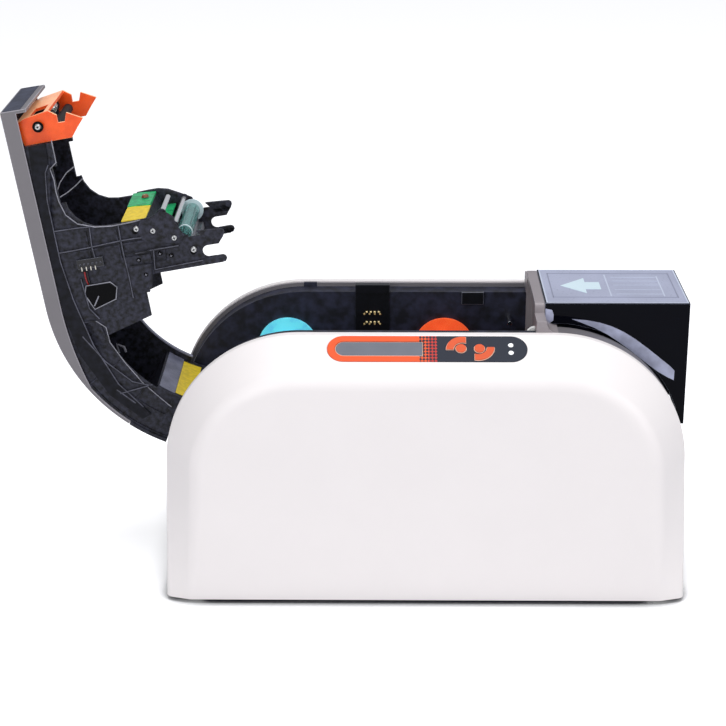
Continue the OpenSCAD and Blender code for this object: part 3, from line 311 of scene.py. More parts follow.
# Centreless-ground steel is bright with fine rings; sintered bronze is matt and brown; die-cast
# alloy is a plain soft grey.
ground_steel = metal("ground_steel_shaft", "#d4d7dc", 0.16, streak=(6, 0.3, 6))
sintered_bronze = metal("sintered_bronze", "#b08a4e", 0.38)
cast_alloy = metal("die_cast_alloy", "#a9abb0", 0.4)
for node in ("platen_roller", "feed_roller", "pick_roller", "exit_roller", "drive_belt"):
    welded_piece(node, black_rubber, 0.2)
welded_piece("platen_shaft", ground_steel, 0.15)
welded_piece("shaft_bushes", sintered_bronze, 0)
welded_piece("drive_pulley", cast_alloy, 0.2)
welded_piece("drive_plate", galvanised_sheet, 0.2)
# Baked enamel on the motor's can: smooth, a little orange peel, half gloss.
motor_enamel = moulded_plastic("black_motor_enamel", "#222225", 0.4, grain_mm=1.2)
welded_piece("drive_motor", motor_enamel, 0.4)

# ------------------------------------------------------------------ ribbon drive
# A blue hub for the supply spool and an orange one for the take-up spool, domed discs turned by
# small motors through bronze pinions. Acetal hubs are smooth and let some light in; the hubs also
# carry a painted glow in their own colour.

blue_acetal = moulded_plastic("blue_acetal_hub", "#6fe2ff", 0.28, grain_mm=0.8, depth=0.08,
                              tone=0.12, drift_mm=8, glow=0.3, lit=0.28)
orange_acetal = moulded_plastic("orange_acetal", "#fb5a1c", 0.3, grain_mm=0.8, depth=0.08,
                                tone=0.14, drift_mm=9, glow=0.3)
orange_hub = moulded_plastic("orange_acetal_hub", "#ff6030", 0.28, grain_mm=0.8, depth=0.08,
                             tone=0.10, drift_mm=8, glow=0.3, lit=0.42)
welded_piece("supply_hub", blue_acetal, 0.3)
welded_piece("takeup_hub", orange_hub, 0.3)
for node in ("supply_pinion", "takeup_pinion"):
    welded_piece(node, sintered_bronze, 0)
welded_piece("ribbon_motors", metal("zinc_motor_can", "#c2c4c6", 0.3, streak=(6, 0.3, 6)), 0.5)

# ------------------------------------------------------------------ boards and sockets
# Fibreglass boards under green solder mask stand on the front wall and under the keys. The mains
# inlet, the rocker and the USB socket are pushed into the cover at the hopper's end.

# Solder mask: a wet-looking green coat with the copper tracks showing as faint streaks.
solder_mask = moulded_plastic("green_solder_mask", "#22a968", 0.3, grain_mm=1.5, depth=0.1,
                              tone=0.3, drift_mm=4)
socket_black = moulded_plastic("black_polyamide_socket", "#1b1b1f", 0.42, grain_mm=0.7, tone=0.15)
welded_piece("circuit_boards", solder_mask, 0.1)
for node in ("power_inlet", "power_switch"):
    welded_piece(node, socket_black, 0.3, black_abs_edge_highlight)
welded_piece("usb_socket", ground_steel, 0.1)

# ------------------------------------------------------------------ contacts and sensors
# On the rear wall of the bay: a black board with eight sprung gold pins for the ribbon's chip,
# a sensor pad, the steel catch pins for the latch, and the small screws that hold them.

# Hard gold on brass pins is warm, bright and slightly rough. Zinc plate is a cool satin white.
gold_plate = metal("hard_gold_plate", "#ffdf9a", 0.42, bright=0.55)
zinc_plate = metal("zinc_plated_screw", "#dcdddd", 0.3, bright=0.8)
welded_piece("contact_board", board_black, 0.4, black_abs_edge_highlight)
welded_piece("sensor_pad", board_black, 0.5, black_abs_edge_highlight)
welded_piece("contact_pins", gold_plate, 0.1)
welded_piece("catch_pins", ground_steel, 0.15)


def new_tree(name, **sizes):
    """A Geometry Nodes tree with named inputs; returns it and its input node."""
    kinds = {float: "NodeSocketFloat", tuple: "NodeSocketVector", type(None): "NodeSocketMaterial"}
    tree = bpy.data.node_groups.new(name, "GeometryNodeTree")
    tree.interface.new_socket("Geometry", in_out="INPUT", socket_type="NodeSocketGeometry")
    for size, value in sizes.items():
        socket = tree.interface.new_socket(size, in_out="INPUT", socket_type=kinds[type(value)])
        if value is not None:
            socket.default_value = value
    tree.interface.new_socket("Geometry", in_out="OUTPUT", socket_type="NodeSocketGeometry")
    return tree, add_node(tree, "NodeGroupInput").outputs


def plain_mesh(piece):
    """Applies a piece's modifiers and keeps the result as its own mesh."""
    bpy.context.view_layer.update()
    graph = bpy.context.evaluated_depsgraph_get()
    done = bpy.data.meshes.new_from_object(piece.evaluated_get(graph))
    piece.modifiers.clear()
    piece.data = done


def grown(name, tree, points, body, slot, edges=(), **sizes):
    """Runs a tree on points in millimetres and keeps the result as a plain mesh on its body."""
    mesh = bpy.data.meshes.new(name)
    mesh.from_pydata([[v * mm for v in p] for p in points], list(edges), [])
    piece = bpy.data.objects.new(name, mesh)
    scene.collection.objects.link(piece)
    run = piece.modifiers.new("tree", "NODES")
    run.node_group = tree
    for item in tree.interface.items_tree:
        if item.in_out == "INPUT" and item.name in sizes:
            run[item.identifier] = sizes[item.name]
    plain_mesh(piece)
    return place_piece(piece, body)


# The screw tree: a domed head with a cross recess, set on each point and turned to face a way.
screw_tree, given = new_tree("pan_head_screws", Diameter=4.0 * mm, Height=1.2 * mm,
                             Facing=(0.0, -1.0, 0.0), Head=None, Recess=None)
radius = add_node(screw_tree, "ShaderNodeMath", {"operation": "MULTIPLY"},
                  _0=given["Diameter"], _1=0.5).outputs[0]
dome_top = add_node(screw_tree, "ShaderNodeMath", {"operation": "MULTIPLY"},
                    _0=given["Diameter"], _1=0.36).outputs[0]
head = add_node(screw_tree, "GeometryNodeMeshCone", Vertices=24, Radius_Top=dome_top,
                Radius_Bottom=radius, Depth=given["Height"]).outputs["Mesh"]
head = add_node(screw_tree, "GeometryNodeSetMaterial", Geometry=head,
                Material=given["Head"]).outputs[0]
bar_size = add_node(screw_tree, "ShaderNodeCombineXYZ", X=radius, Y=0.5 * mm, Z=0.3 * mm)
bar = add_node(screw_tree, "GeometryNodeMeshCube", Size=bar_size.outputs[0]).outputs["Mesh"]
top = add_node(screw_tree, "ShaderNodeCombineXYZ", Z=given["Height"]).outputs[0]
bars = [add_node(screw_tree, "GeometryNodeTransform", Geometry=bar, Translation=top,
                 Rotation=(0, 0, math.radians(turn))).outputs[0] for turn in (20, 110)]
cross = add_node(screw_tree, "GeometryNodeJoinGeometry", Geometry=bars).outputs[0]
cross = add_node(screw_tree, "GeometryNodeSetMaterial", Geometry=cross,
                 Material=given["Recess"]).outputs[0]
screw = add_node(screw_tree, "GeometryNodeJoinGeometry", Geometry=[head, cross]).outputs[0]
facing = add_node(screw_tree, "FunctionNodeAlignRotationToVector", {"axis": "Z"},
                  Vector=given["Facing"]).outputs[0]
screws = add_node(screw_tree, "GeometryNodeInstanceOnPoints", Points=given["Geometry"],
                  Instance=screw, Rotation=facing).outputs[0]
screws = add_node(screw_tree, "GeometryNodeRealizeInstances", Geometry=screws).outputs[0]
add_node(screw_tree, "NodeGroupOutput", Geometry=screws)

# Near black, for black parts and as painted shade in screw recesses and behind the cover's window.
black_and_painted_shade = moulded_plastic("black_and_painted_recess_shade", "#050507", 0.6, specular=0.1)
bay_wall_y, pin_end_y = 45.0, 42.6
bay_screws = [(x, bay_wall_y, z) for x, z in
              ((-33.2, 181.2), (-42.7, 159.3), (-49.2, 190.5), (-29.4, 190.5))]
pin_tips = [(x, pin_end_y, z) for x in (-43.3, -40.2, -37.2, -34.1) for z in (174.7, 166.6)]
# The pins' tips are a pale bright gold with a painted glow.
grown("contact_tips", screw_tree, pin_tips, "base", slot_of["contact_pins"], Diameter=1.5 * mm,
      Height=0.5 * mm, Head=moulded_plastic("gold_tip_painted_glow", "#ffe9b0", 0.3, lit=0.35),
      Recess=gold_plate)
grown("bay_screws", screw_tree, bay_screws, "base", slot_of["case_screws"], Diameter=2.6 * mm,
      Height=0.8 * mm, Head=zinc_plate, Recess=black_and_painted_shade)

# ------------------------------------------------------------------ white side panels
# Each panel is one injection moulding in white ABS: a level ridge, a shoulder that slopes down
# to the flat face, and a 3 mm wall. The mould's spark texture gives it a soft, even sheen.

# Spark-textured ABS: an even warm white with a soft sheen and no marks.
white_abs = moulded_plastic("white_abs_spark_textured", "#efeae9", 0.42, grain_mm=0.6, tone=0.006)


def arc(centre, radius, start, end, count):
    """Points on an arc, in degrees."""
    angles = [math.radians(start + (end - start) * i / count) for i in range(count + 1)]
    return [(centre[0] + radius * math.cos(a), centre[1] + radius * math.sin(a)) for a in angles]


panel_low, panel_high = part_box("front_side_panel")
ridge_y = panel_high.y
panel_depth = panel_high.y - panel_low.y
arch_r = 97 * mm
arch_x = panel_high.x - arch_r
arch_z = panel_high.z - arch_r
shoulder_in = 22 * mm
crest = foot_strip = 5.5 * mm
slope = math.atan(shoulder_in / (panel_depth - crest))


def panel_profile(share):
    """Distance from the arch's centre and depth from the ridge, from the ridge to the face.

    share goes from 0 at the arch to 1 at the foot, where the leg is nearly square.
    """
    level = crest + share * (panel_depth - foot_strip - crest)
    inset = shoulder_in - share * 4 * mm
    crest_r, face_r = (3 + 3 * share) * mm, 14 * mm
    tilt = math.atan(inset / (panel_depth - level))
    turn = math.degrees(tilt)
    points = [(arch_r, 0)]
    points += arc((arch_r - crest_r, level - crest_r * math.tan(tilt / 2)), crest_r, 0, turn, 6)
    face_centre = (arch_r - inset - face_r * math.tan((math.pi / 2 - tilt) / 2),
                   panel_depth - face_r)
    points += arc(face_centre, face_r, turn, 90, 18)
    return points


def panel_stations():
    """Centre, direction and share of each step, up one leg, over the top, down the other."""
    steps, leg_steps = 40, 16
    rise = arch_z - panel_low.z
    leg = [i / leg_steps for i in range(leg_steps)]
    right = [((arch_x, arch_z - rise * (1 - i)), 0.0, 1 - i) for i in leg]
    right += [((arch_x, arch_z), math.radians(90 * i / steps), 0.0) for i in range(steps + 1)]
    return right + [((-x, z), math.pi - angle, share) for (x, z), angle, share in reversed(right)]


def side_panel_mesh(side):
    """The outer skin of a panel; side is -1 for the front one and 1 for the rear one."""
    mesh = bpy.data.meshes.new("side_panel")
    bm = bmesh.new()
    rows = []
    for (x, z), angle, share in panel_stations():
        rows.append([bm.verts.new((x + r * math.cos(angle), side * (abs(ridge_y) + d),
                                   z + r * math.sin(angle))) for r, d in panel_profile(share)])
    for a, b in zip(rows, rows[1:]):
        for i in range(len(a) - 1):
            bm.faces.new((a[i], a[i + 1], b[i + 1], b[i]))
    bm.faces.new([row[-1] for row in rows])
    bmesh.ops.recalc_face_normals(bm, faces=bm.faces)
    face = max(bm.faces, key=lambda f: f.calc_area())
    if face.normal.y * side < 0:
        bmesh.ops.reverse_faces(bm, faces=bm.faces)
    bm.to_mesh(mesh)
    bm.free()
    return mesh


def stadium(length, width, count=24):
    """The outline of a slot with round ends."""
    half = (length - width) / 2
    return arc((half, 0), width / 2, -90, 90, count) + arc((-half, 0), width / 2, 90, 270, count)


bezel_l, bezel_w, bezel_in = 141, 23, 11 * mm
panel_mid = Vector((0, ridge_y - crest - bezel_in, panel_high.z - bezel_in * math.tan(slope)))
on_shoulder = Matrix.Translation(panel_mid) @ Matrix.Rotation(slope, 4, "X")


def plate_mesh(name, outline, low, high, place=Matrix.Identity(4)):
    """A flat plate between two heights in millimetres, in the plane that place carries it to."""
    mesh = bpy.data.meshes.new(name)
    bm = bmesh.new()
    face = bm.faces.new([bm.verts.new((x * mm, y * mm, low * mm)) for x, y in outline])
    raised = bmesh.ops.extrude_face_region(bm, geom=[face])["geom"]
    bmesh.ops.translate(bm, vec=(0, 0, (high - low) * mm),
                        verts=[v for v in raised if isinstance(v, bmesh.types.BMVert)])
    bmesh.ops.recalc_face_normals(bm, faces=bm.faces)
    bmesh.ops.transform(bm, matrix=place, verts=bm.verts)
    bm.to_mesh(mesh)
    bm.free()
    return mesh


def carved(piece, cutter_meshes):
    """Cuts meshes out of a piece, last of its modifiers, and keeps the result as a plain mesh."""
    cutters = []
    for mesh in cutter_meshes:
        cutter = bpy.data.objects.new("cutter", mesh)
        scene.collection.objects.link(cutter)
        cut = piece.modifiers.new("cut", "BOOLEAN")
        cut.object = cutter
        cut.solver = "EXACT"
        cutters.append(cutter)
    plain_mesh(piece)
    for cutter in cutters:
        bpy.data.objects.remove(cutter)


# The key panel drops into a seat with a narrow ledge, and the keys reach through it.
play, ledge, seat_depth, clear = 0.5, 1.2, 1.6, 12
seat = [plate_mesh("cutter", stadium(bezel_l + play, bezel_w + play), -seat_depth, clear,
                   on_shoulder),
        plate_mesh("cutter", stadium(bezel_l - ledge, bezel_w - ledge), -clear, clear,
                   on_shoulder)]
for node, side, cutters in (("front_side_panel", -1, seat), ("rear_side_panel", 1, [])):
    panel = bpy.data.objects.new(node + "_moulding", side_panel_mesh(side))
    scene.collection.objects.link(panel)
    panel.data.materials.append(white_abs)
    wall = panel.modifiers.new("wall", "SOLIDIFY")
    wall.thickness = 3 * mm
    wall.offset = -1
    carved(panel, cutters)
    smooth_shaded(panel.data, 30)
    rounded(panel, 0.35, 50)
    place_piece(panel, "base", [node])

# ------------------------------------------------------------------ rim and end covers
# Grey ABS strips snap along both walls' upper edges, and curved covers close the two ends. The
# catch for the ribbon cassette leaves a black gap in the rear strip, its ends pale with the strips'
# painted edge highlight.

# Fine-grained ABS in two greys, satin; the rim strips' rounded edges are painted a paler grey as a
# highlight.
rim_abs = moulded_plastic("grey_abs_rim", "#6f6c70", 0.36, grain_mm=0.6, tone=0.05)
end_abs = moulded_plastic("dark_grey_abs_end_cover", "#5d5a5f", 0.45, grain_mm=0.6, tone=0.04)
rim_edge_highlight = moulded_plastic("painted_highlight_edge_of_grey_rim", "#a9a7ad", 0.3, tone=0.04)
welded_piece("rim_strips", rim_abs, 0.35, rim_edge_highlight)
for node in ("hinge_end_cover", "hopper_end_cover"):
    welded_piece(node, end_abs, 0.4)


def box_outline(x0, x1, y0, y1):
    """The corners of a rectangle."""
    return [(x0, y0), (x1, y0), (x1, y1), (x0, y1)]


def plate(name, outline, low, high, material, body, place=Matrix.Identity(4)):
    """A plate in one material as a piece of its own, in millimetres."""
    piece = bpy.data.objects.new(name, plate_mesh(name, outline, low, high, place))
    piece.data.materials.append(material)
    return place_piece(piece, body)


plate("rim_catch_gap", box_outline(-91.7, -81.7, 57.9, 60.6), 189.4, 193.3, chassis_abs, "base")
welded_piece("hinge_pins", ground_steel, 0.15)
welded_piece("case_screws", zinc_plate, 0.15)
# White acetal is waxy and plain, with a little light under its skin.
welded_piece("idler_wheel", moulded_plastic("white_acetal_wheel", "#ecebe8", 0.35, grain_mm=0.8,
                                            depth=0.06, tone=0.01, glow=0.2), 0.4)

# ------------------------------------------------------------------ key panel
# A slate film panel let into the front shoulder. Its orange field round the display breaks up
# into a fine red lattice before the keys. The window's border is moulded proud; its rounded edge is
# painted pale as a highlight.


def panel_film():
    """Printed film: orange up to the keys, a fading lattice of small squares, then slate."""
    material, tree = new_material("printed_polyester_film")
    place = add_node(tree, "ShaderNodeTexCoord").outputs["Object"]
    split = add_node(tree, "ShaderNodeSeparateXYZ", Vector=place)
    turn = add_node(tree, "ShaderNodeMapping", Vector=place, Rotation=(0, 0, math.radians(45)))
    flat = add_node(tree, "ShaderNodeVectorMath", {"operation": "MULTIPLY"}, _0=turn.outputs[0],
                    _1=(1, 1, 0))
    dots = add_node(tree, "ShaderNodeTexChecker", Vector=flat.outputs[0], Scale=1 / (1.7 * mm))
    slate, orange, red = linear("#272c38"), linear("#e85c30"), linear("#c23c35")
    colour = orange
    for edge, first, second in ((-5.5, orange, slate), (1.0, red, slate), (7.0, slate, slate)):
        step = add_node(tree, "ShaderNodeMath", {"operation": "GREATER_THAN"},
                        _0=split.outputs["X"], _1=edge * mm)
        pattern = add_node(tree, "ShaderNodeMix", {"data_type": "RGBA"},
                           Factor=dots.outputs["Fac"], _6=first, _7=second)
        colour = add_node(tree, "ShaderNodeMix", {"data_type": "RGBA"}, Factor=step.outputs[0],
                          _6=colour, _7=pattern.outputs[2]).outputs[2]
    grain = add_node(tree, "ShaderNodeTexNoise", Vector=place, Scale=1 / (0.5 * mm), Detail=2.0)
    bump = add_node(tree, "ShaderNodeBump", Height=grain.outputs["Fac"], Strength=0.06,
                    Distance=0.05 * mm)
    shader = add_node(tree, "ShaderNodeBsdfPrincipled", Base_Color=colour, Roughness=0.5,
                      Normal=bump.outputs[0], Specular_IOR_Level=0.2)
    add_node(tree, "ShaderNodeOutputMaterial", Surface=shader.outputs[0])
    return material


def sweep(tree, given, profile, skin):
    """Ends a tree: sweeps a profile along the edges that it is given, in one material."""
    runs = add_node(tree, "GeometryNodeMeshToCurve", Mesh=given["Geometry"]).outputs[0]
    bars = add_node(tree, "GeometryNodeCurveToMesh", Curve=runs, Profile_Curve=profile,
                    Fill_Caps=True).outputs[0]
    bars = add_node(tree, "GeometryNodeRealizeInstances", Geometry=bars).outputs[0]
    bars = add_node(tree, "GeometryNodeSetMaterial", Geometry=bars, Material=skin).outputs[0]
    add_node(tree, "NodeGroupOutput", Geometry=bars)


# The rib tree: a bar with rounded corners along each run of edges.
rib_tree, given = new_tree("moulded_ribs", Width=1.0 * mm, Height=1.0 * mm, Corner=0.3 * mm,
                           Skin=None)
section = add_node(rib_tree, "GeometryNodeCurvePrimitiveQuadrilateral", Width=given["Width"],
                   Height=given["Height"]).outputs[0]
section = add_node(rib_tree, "GeometryNodeFilletCurve", {"mode": "POLY"}, Curve=section,
                   Radius=given["Corner"], Count=2).outputs[0]
sweep(rib_tree, given, section, given["Skin"])


def ribs(name, runs, body, slot, skin, width=1.0, height=1.0, corner=0.3, points=(), edges=()):
    """Bars along polylines, or along given edges between points, all in millimetres."""
    points, edges = list(points), list(edges)
    for run in runs:
        edges += [(len(points) + i, len(points) + i + 1) for i in range(len(run) - 1)]
        points += run
    return grown(name, rib_tree, points, body, slot, edges, Width=width * mm, Height=height * mm,
                 Corner=corner * mm, Skin=skin)


# Silicone keys, printed orange under a clear coat, with a paler moulded lip round each. The same
# pale colour on the display window's rounded edge is a painted highlight.
key_orange = moulded_plastic("printed_silicone_key", "#d9572c", 0.45, tone=0.05, specular=0.25)
key_lip_and_window_highlight = moulded_plastic("pale_key_lip_and_painted_window_highlight", "#f4c7ac", 0.4, tone=0.03)
display_glass = moulded_plastic("grey_display_glass", "#5f6470", 0.2, tone=0.10, drift_mm=30,
                                specular=0.3)
welded_piece("control_bezel", panel_film(), 0.25)
welded_piece("display_window", display_glass, 0.4, key_lip_and_window_highlight)
welded_piece("status_lights", moulded_plastic("clear_light_pipe", "#fbfdff", 0.15, tone=0.0), 0.3)
out = (on_shoulder.to_3x3() @ Vector((0, 0, 1))).normalized()
film_level = max(v.co.dot(out) for v in frame["nodes"]["control_bezel"].data.vertices)
for node in ("menu_button", "enter_button", "cancel_button", "scroll_button"):
    key = welded_piece(node, key_orange, 0)
    bm = bmesh.new()
    bm.from_mesh(key.data)
    top = max(f.calc_center_median().dot(out) for f in bm.faces if f.normal.dot(out) > 0.99)
    faces = [f for f in bm.faces if f.normal.dot(out) > 0.99
             and f.calc_center_median().dot(out) > top - 0.05 * mm]
    rims = [e for e in bm.edges if sum(f in faces for f in e.link_faces) == 1]
    corners = sorted({v for e in rims for v in e.verts}, key=lambda v: v.index)
    ribs(node + "_lip", [], "base", slot_of["control_bezel"], key_lip_and_window_highlight, 0.8, 0.5, 0.15,
         points=[tuple((v.co + out * (film_level - v.co.dot(out))) / mm) for v in corners],
         edges=[tuple(corners.index(v) for v in e.verts) for e in rims])
    bm.free()

# ------------------------------------------------------------------ card hopper
# A pale grey frame stands across the deck and the card weight presses the stack down. The lid is
# a hood of smoked polycarbonate, polished inside and out, hinged at its foot.

# Warm grey ABS with a low gloss; its rounded edges are painted pale as a highlight.
frame_abs = moulded_plastic("grey_abs_hopper_frame", "#8f888b", 0.36, grain_mm=0.6, tone=0.06)
hopper_edge_highlight = moulded_plastic("painted_highlight_edge_of_hopper_frame", "#bdb8bd", 0.32, tone=0.04)
welded_piece("hopper_frame", frame_abs, 0.6, hopper_edge_highlight)
welded_piece("card_weight", chassis_abs, 0.5, black_abs_edge_highlight)


def clear_plastic(name, colour, ripple_mm, smooth, rough, **uniform):
    """Polished clear plastic, its gloss between two values in slow ripples."""
    material, tree = new_material(name)
    place = add_node(tree, "ShaderNodeTexCoord")
    ripple = add_node(tree, "ShaderNodeTexNoise", Vector=place.outputs["Object"],
                      Scale=1 / (ripple_mm * mm))
    gloss = add_node(tree, "ShaderNodeMapRange", Value=ripple.outputs["Fac"], To_Min=smooth,
                     To_Max=rough)
    shader = add_node(tree, "ShaderNodeBsdfPrincipled", Base_Color=linear(colour),
                      Roughness=gloss.outputs[0], **uniform)
    add_node(tree, "ShaderNodeOutputMaterial", Surface=shader.outputs[0])
    return material


# Smoked polycarbonate: nearly black in the thick, with a sharp clear gloss; its rounded edges are
# painted pale as a highlight.
smoked = clear_plastic("smoked_polycarbonate", "#03040c", 30, 0.05, 0.09, IOR=1.4,
                       Specular_IOR_Level=0.12)
lid_edge_highlight = moulded_plastic("painted_highlight_edge_of_polycarbonate", "#8f94a8", 0.2, tone=0.05)
welded_piece("hopper_lid", smoked, 0.8, lid_edge_highlight)

# The guide film on the lid: satin lavender grey polyester with a printed border, a plain arrow
# that shows which way the card travels, and ruled lines, all in flat pale inks. Its pale lavender
# is partly a painted reflection of the bright room on the lid's top. Bands of the pale ink round
# the lid's own edge are a painted highlight.
guide_film_and_reflection = moulded_plastic("lavender_guide_film_and_painted_reflection", "#a4a9bf", 0.3, grain_mm=1.5, depth=0.06,
                             tone=0.08, drift_mm=40)
ink_and_edge_highlight = moulded_plastic("pale_ink_and_painted_edge_highlight", "#c3cbdd", 0.35, tone=0.03)
film_dark = moulded_plastic("grey_ink_line", "#878ba0", 0.35, tone=0.05)
arrow_ink = moulded_plastic("pale_cyan_ink", "#d2e6ee", 0.35, tone=0.03)
lid_top = 209.5


def film_shape(name, outline, low, high, ink):
    """A thin printed shape on the lid's top, between two heights above it."""
    plate(name, outline, lid_top + low, lid_top + high, ink, "lid")


film_shape("guide_film_and_reflection", box_outline(86.4, 188.6, -39.8, 39.8), 0, 0.12, guide_film_and_reflection)
film_shape("film_travel_arrow", [(99.7, 0.5), (118.4, 19.0), (118.4, 9.0), (129, 9.0), (129, -8.0),
                                 (117.6, -8.0), (117.6, -17.5)], 0.1, 0.3, arrow_ink)
for name, high, ink, rules in (
        ("film_border", 0.25, film_dark,
         ((92, 183, 30.2, 31.0), (92, 183, -27.0, -26.2), (92, 92.8, -27.0, 31.0),
          (182.4, 183.2, -27.0, 31.0))),
        ("film_rule", 0.25, ink_and_edge_highlight,
         ((134.2, 135.2, -24, 27.6), (172.8, 173.8, -24, 24), (139, 173, 21, 21.8),
          (139, 173, 12, 12.6), (139, 173, 2, 2.6), (139, 173, -9, -8.4),
          (139, 173, -19.5, -18.7))),
        ("lid_bright_edge", 0.3, ink_and_edge_highlight,
         ((86.4, 188.6, -39.8, -38.6), (187.4, 188.6, -38.6, 39.8), (86.4, 87.4, -38.6, 39.8),
          (87.4, 187.4, 38.8, 39.8)))):
    for i, rule in enumerate(rules):
        film_shape("%s_%d" % (name, i), box_outline(*rule), 0.1, high, ink)

# The lid's near side has a finger dimple by the frame, and a crescent along its lower edge; both
# are painted light, pale as if light came through the clear plastic from behind.
crescent = [(104.9, 197.7), (115.0, 197.0), (125.1, 195.1), (133.9, 192.2), (142.7, 188.0),
            (151.6, 182.3), (160.6, 175.5), (169.7, 168.1), (177.3, 161.9), (180.7, 158.4),
            (180.5, 151.1), (176.3, 153.1), (168.9, 157.5), (161.4, 163.1), (154.5, 168.6),
            (147.0, 174.6), (139.6, 180.2), (131.0, 186.0), (121.0, 191.3), (110.7, 195.5)]
dimple = [(85.6, 205.6), (90.4, 204.6), (91.6, 201.0), (91.4, 196.6), (89.0, 194.8), (86.4, 196.4),
          (85.6, 200.4)]
stand_up = Matrix.Rotation(math.radians(90), 4, "X")


def upright_plate(name, outline, low, high, material, body="cover",
                  place=Matrix.Identity(4)):
    """A plate that stands along the printer, between two distances towards its front."""
    plate(name, outline, low, high, material, body, place @ stand_up)


# Painted light: a cloudy pale lavender stands for clear polycarbonate lit from behind.
lid_side = 40.9
backlight_paint = moulded_plastic("painted_backlight_of_polycarbonate", "#a4a8c0", 0.3, tone=0.22, drift_mm=12)
for name, outline in (("lid_crescent", crescent), ("lid_dimple", dimple)):
    upright_plate(name, outline, lid_side, lid_side + 0.4, backlight_paint, "lid")

# ------------------------------------------------------------------ cover
# A grey ABS shell over a black glass-filled frame. The frame's side walls carry ribs, screw
# bosses and forks that drop over the platen, and the pair swings on the hinge pins.

# The shell is satin grey ABS, its rounded edges painted a paler grey as a highlight. The frame is
# cloudy with glass fibre. Its ribs are painted darker as shade, with a pale painted highlight
# beside each, and pale beads round its openings and inside the scoop are painted highlights.
shell_abs = moulded_plastic("grey_abs_cover", "#757276", 0.42, grain_mm=0.6, tone=0.04)
shell_edge_highlight = moulded_plastic("painted_highlight_edge_of_grey_shell", "#97949b", 0.34, tone=0.06)
frame_black = moulded_plastic("glass_filled_abs_frame", "#20212c", 0.52, grain_mm=0.7, depth=0.3,
                              tone=0.95, drift_mm=3.2, specular=0.35)
rib_painted_shade = moulded_plastic("painted_shade_rib", "#11121a", 0.5, tone=0.3, drift_mm=6, specular=0.3)
rib_edge_highlight = moulded_plastic("painted_highlight_rib_edge", "#4a4b58", 0.4, tone=0.35, drift_mm=5)
bead_highlight = moulded_plastic("painted_highlight_bead", "#85858f", 0.3, tone=0.25, drift_mm=8)
welded_piece("cover_shell", shell_abs, 0.5, shell_edge_highlight)
# A lug of the far wall would stand out over its hump, so it is pared away before the rounding.
stale_lug = [(-195, 273.2), (-191.7, 272.6), (-182.9, 269.6), (-180, 268.8), (-180, 282),
             (-195, 282)]
frame_piece = welded_piece("cover_frame", frame_black, 0)
frame_piece.data.materials.append(black_abs_edge_highlight)
carved(frame_piece, [plate_mesh("lug", stale_lug, -41, -36.4, stand_up)])
rounded(frame_piece, 0.35, sharp_edge).material = 1

near_face = -39.5
wall_slot = slot_of["cover_frame"]


def wall_run(points, y=near_face):
    """A polyline on the near wall, from its x and z."""
    return [(x, y, z) for x, z in points]


def wall_ribs(name, runs, skin, width, height, corner=0.3, y=near_face):
    """Ribs on the near wall, along runs of x and z."""
    ribs(name, [wall_run(run, y) for run in runs], "cover", wall_slot, skin, width, height, corner)


wall_lattice = (
    [(-263.4, 245.3), (-252.6, 247.2), (-240.8, 249.7), (-229.1, 252.3), (-218.4, 254.7),
     (-207.6, 256.6), (-196.9, 257.6), (-181.1, 260.2)],
    [(-265.1, 261.5), (-248.1, 264.1), (-239.2, 265.0)],
    [(-240.1, 264.1), (-239.0, 250.1), (-237.1, 241.7)],
    [(-219.6, 266.0), (-218.3, 255.7), (-216.6, 244.6), (-213, 226), (-211, 212)],
    [(-208.1, 245.3), (-197.3, 247.7), (-177.2, 251.3)],
    [(-248, 226), (-243, 204), (-236, 196)],
    [(-195.1, 248.3), (-194.6, 233.4), (-160, 240.4)])
arm_lattice = (
    [(-249.0, 182.5), (-233.2, 163.3), (-214.2, 147.8), (-201.2, 144.8)],
    [(-223.4, 138.4), (-199.7, 145.5)],
    [(-226, 141.5), (-212.5, 131.0)])
highlight_step = 0.45
for name, lattice in (("wall_ribs", wall_lattice), ("arm_ribs", arm_lattice)):
    wall_ribs(name, lattice, rib_painted_shade, 0.9, 1.2)
    wall_ribs(name + "_painted_highlight", [[(x + highlight_step, z + highlight_step) for x, z in run] for run in lattice],
              rib_edge_highlight, highlight_step, 0.8, 0.1, -39.8)
scoop = [(-263.2, 327.8), (-260.8, 312.1), (-265.3, 307.4), (-262.9, 299.5), (-262.0, 290.8),
         (-260.2, 283.5), (-256.1, 274.0), (-248.0, 267.4), (-235.7, 265.2), (-223.2, 266.0),
         (-210.7, 268.6), (-203.5, 270.4)]
arm = [(-238.3, 194.8), (-231.3, 189.9), (-228.9, 178.4), (-218.7, 163.0), (-206.5, 147.5),
       (-194.2, 135.8), (-186.0, 128.4)]
window = [(-245.3, 214.5), (-244.2, 221.3), (-226.8, 224.3), (-222.0, 220.6), (-223.1, 211.5),
          (-238.6, 203.6), (-245.3, 214.5)]
wall_ribs("scoop_bead", [scoop], bead_highlight, 0.8, 0.8)
wall_ribs("arm_bead", [arm], bead_highlight, 0.7, 0.7)
wall_ribs("window_bead", [window], bead_highlight, 0.6, 0.8, 0.2)
ribs("floor_ribs", [
    [(-260.4, 33, 290.6), (-262.5, 12, 291.5), (-263.5, -12, 290.5), (-263, -36, 287)],
    [(-254.4, 33, 281.6), (-256, 14, 281.8), (-258.5, -12, 283), (-260, -36, 286)],
    [(-235.4, -39.6, 213.8), (-238.8, -39.6, 206.2)]], "cover", wall_slot, bead_highlight, 0.6, 0.9)

# Traced with the cover shut, then swung open: the far wall's lip with a painted sheen along its
# edge, and a painted grey sheen on the arm's floor, all round the centre of the cover's arc.
joints = {joint["name"]: joint for joint in frame["record"]["behaviour"]["joints"]}
hinge = Vector(joints["cover_hinge"]["pos_m"])
opened = math.radians(-joints["cover_hinge"]["range_deg"][1])
swing = (Matrix.Translation(hinge) @ Matrix.Rotation(opened, 4, "Y")
         @ Matrix.Translation(-hinge))


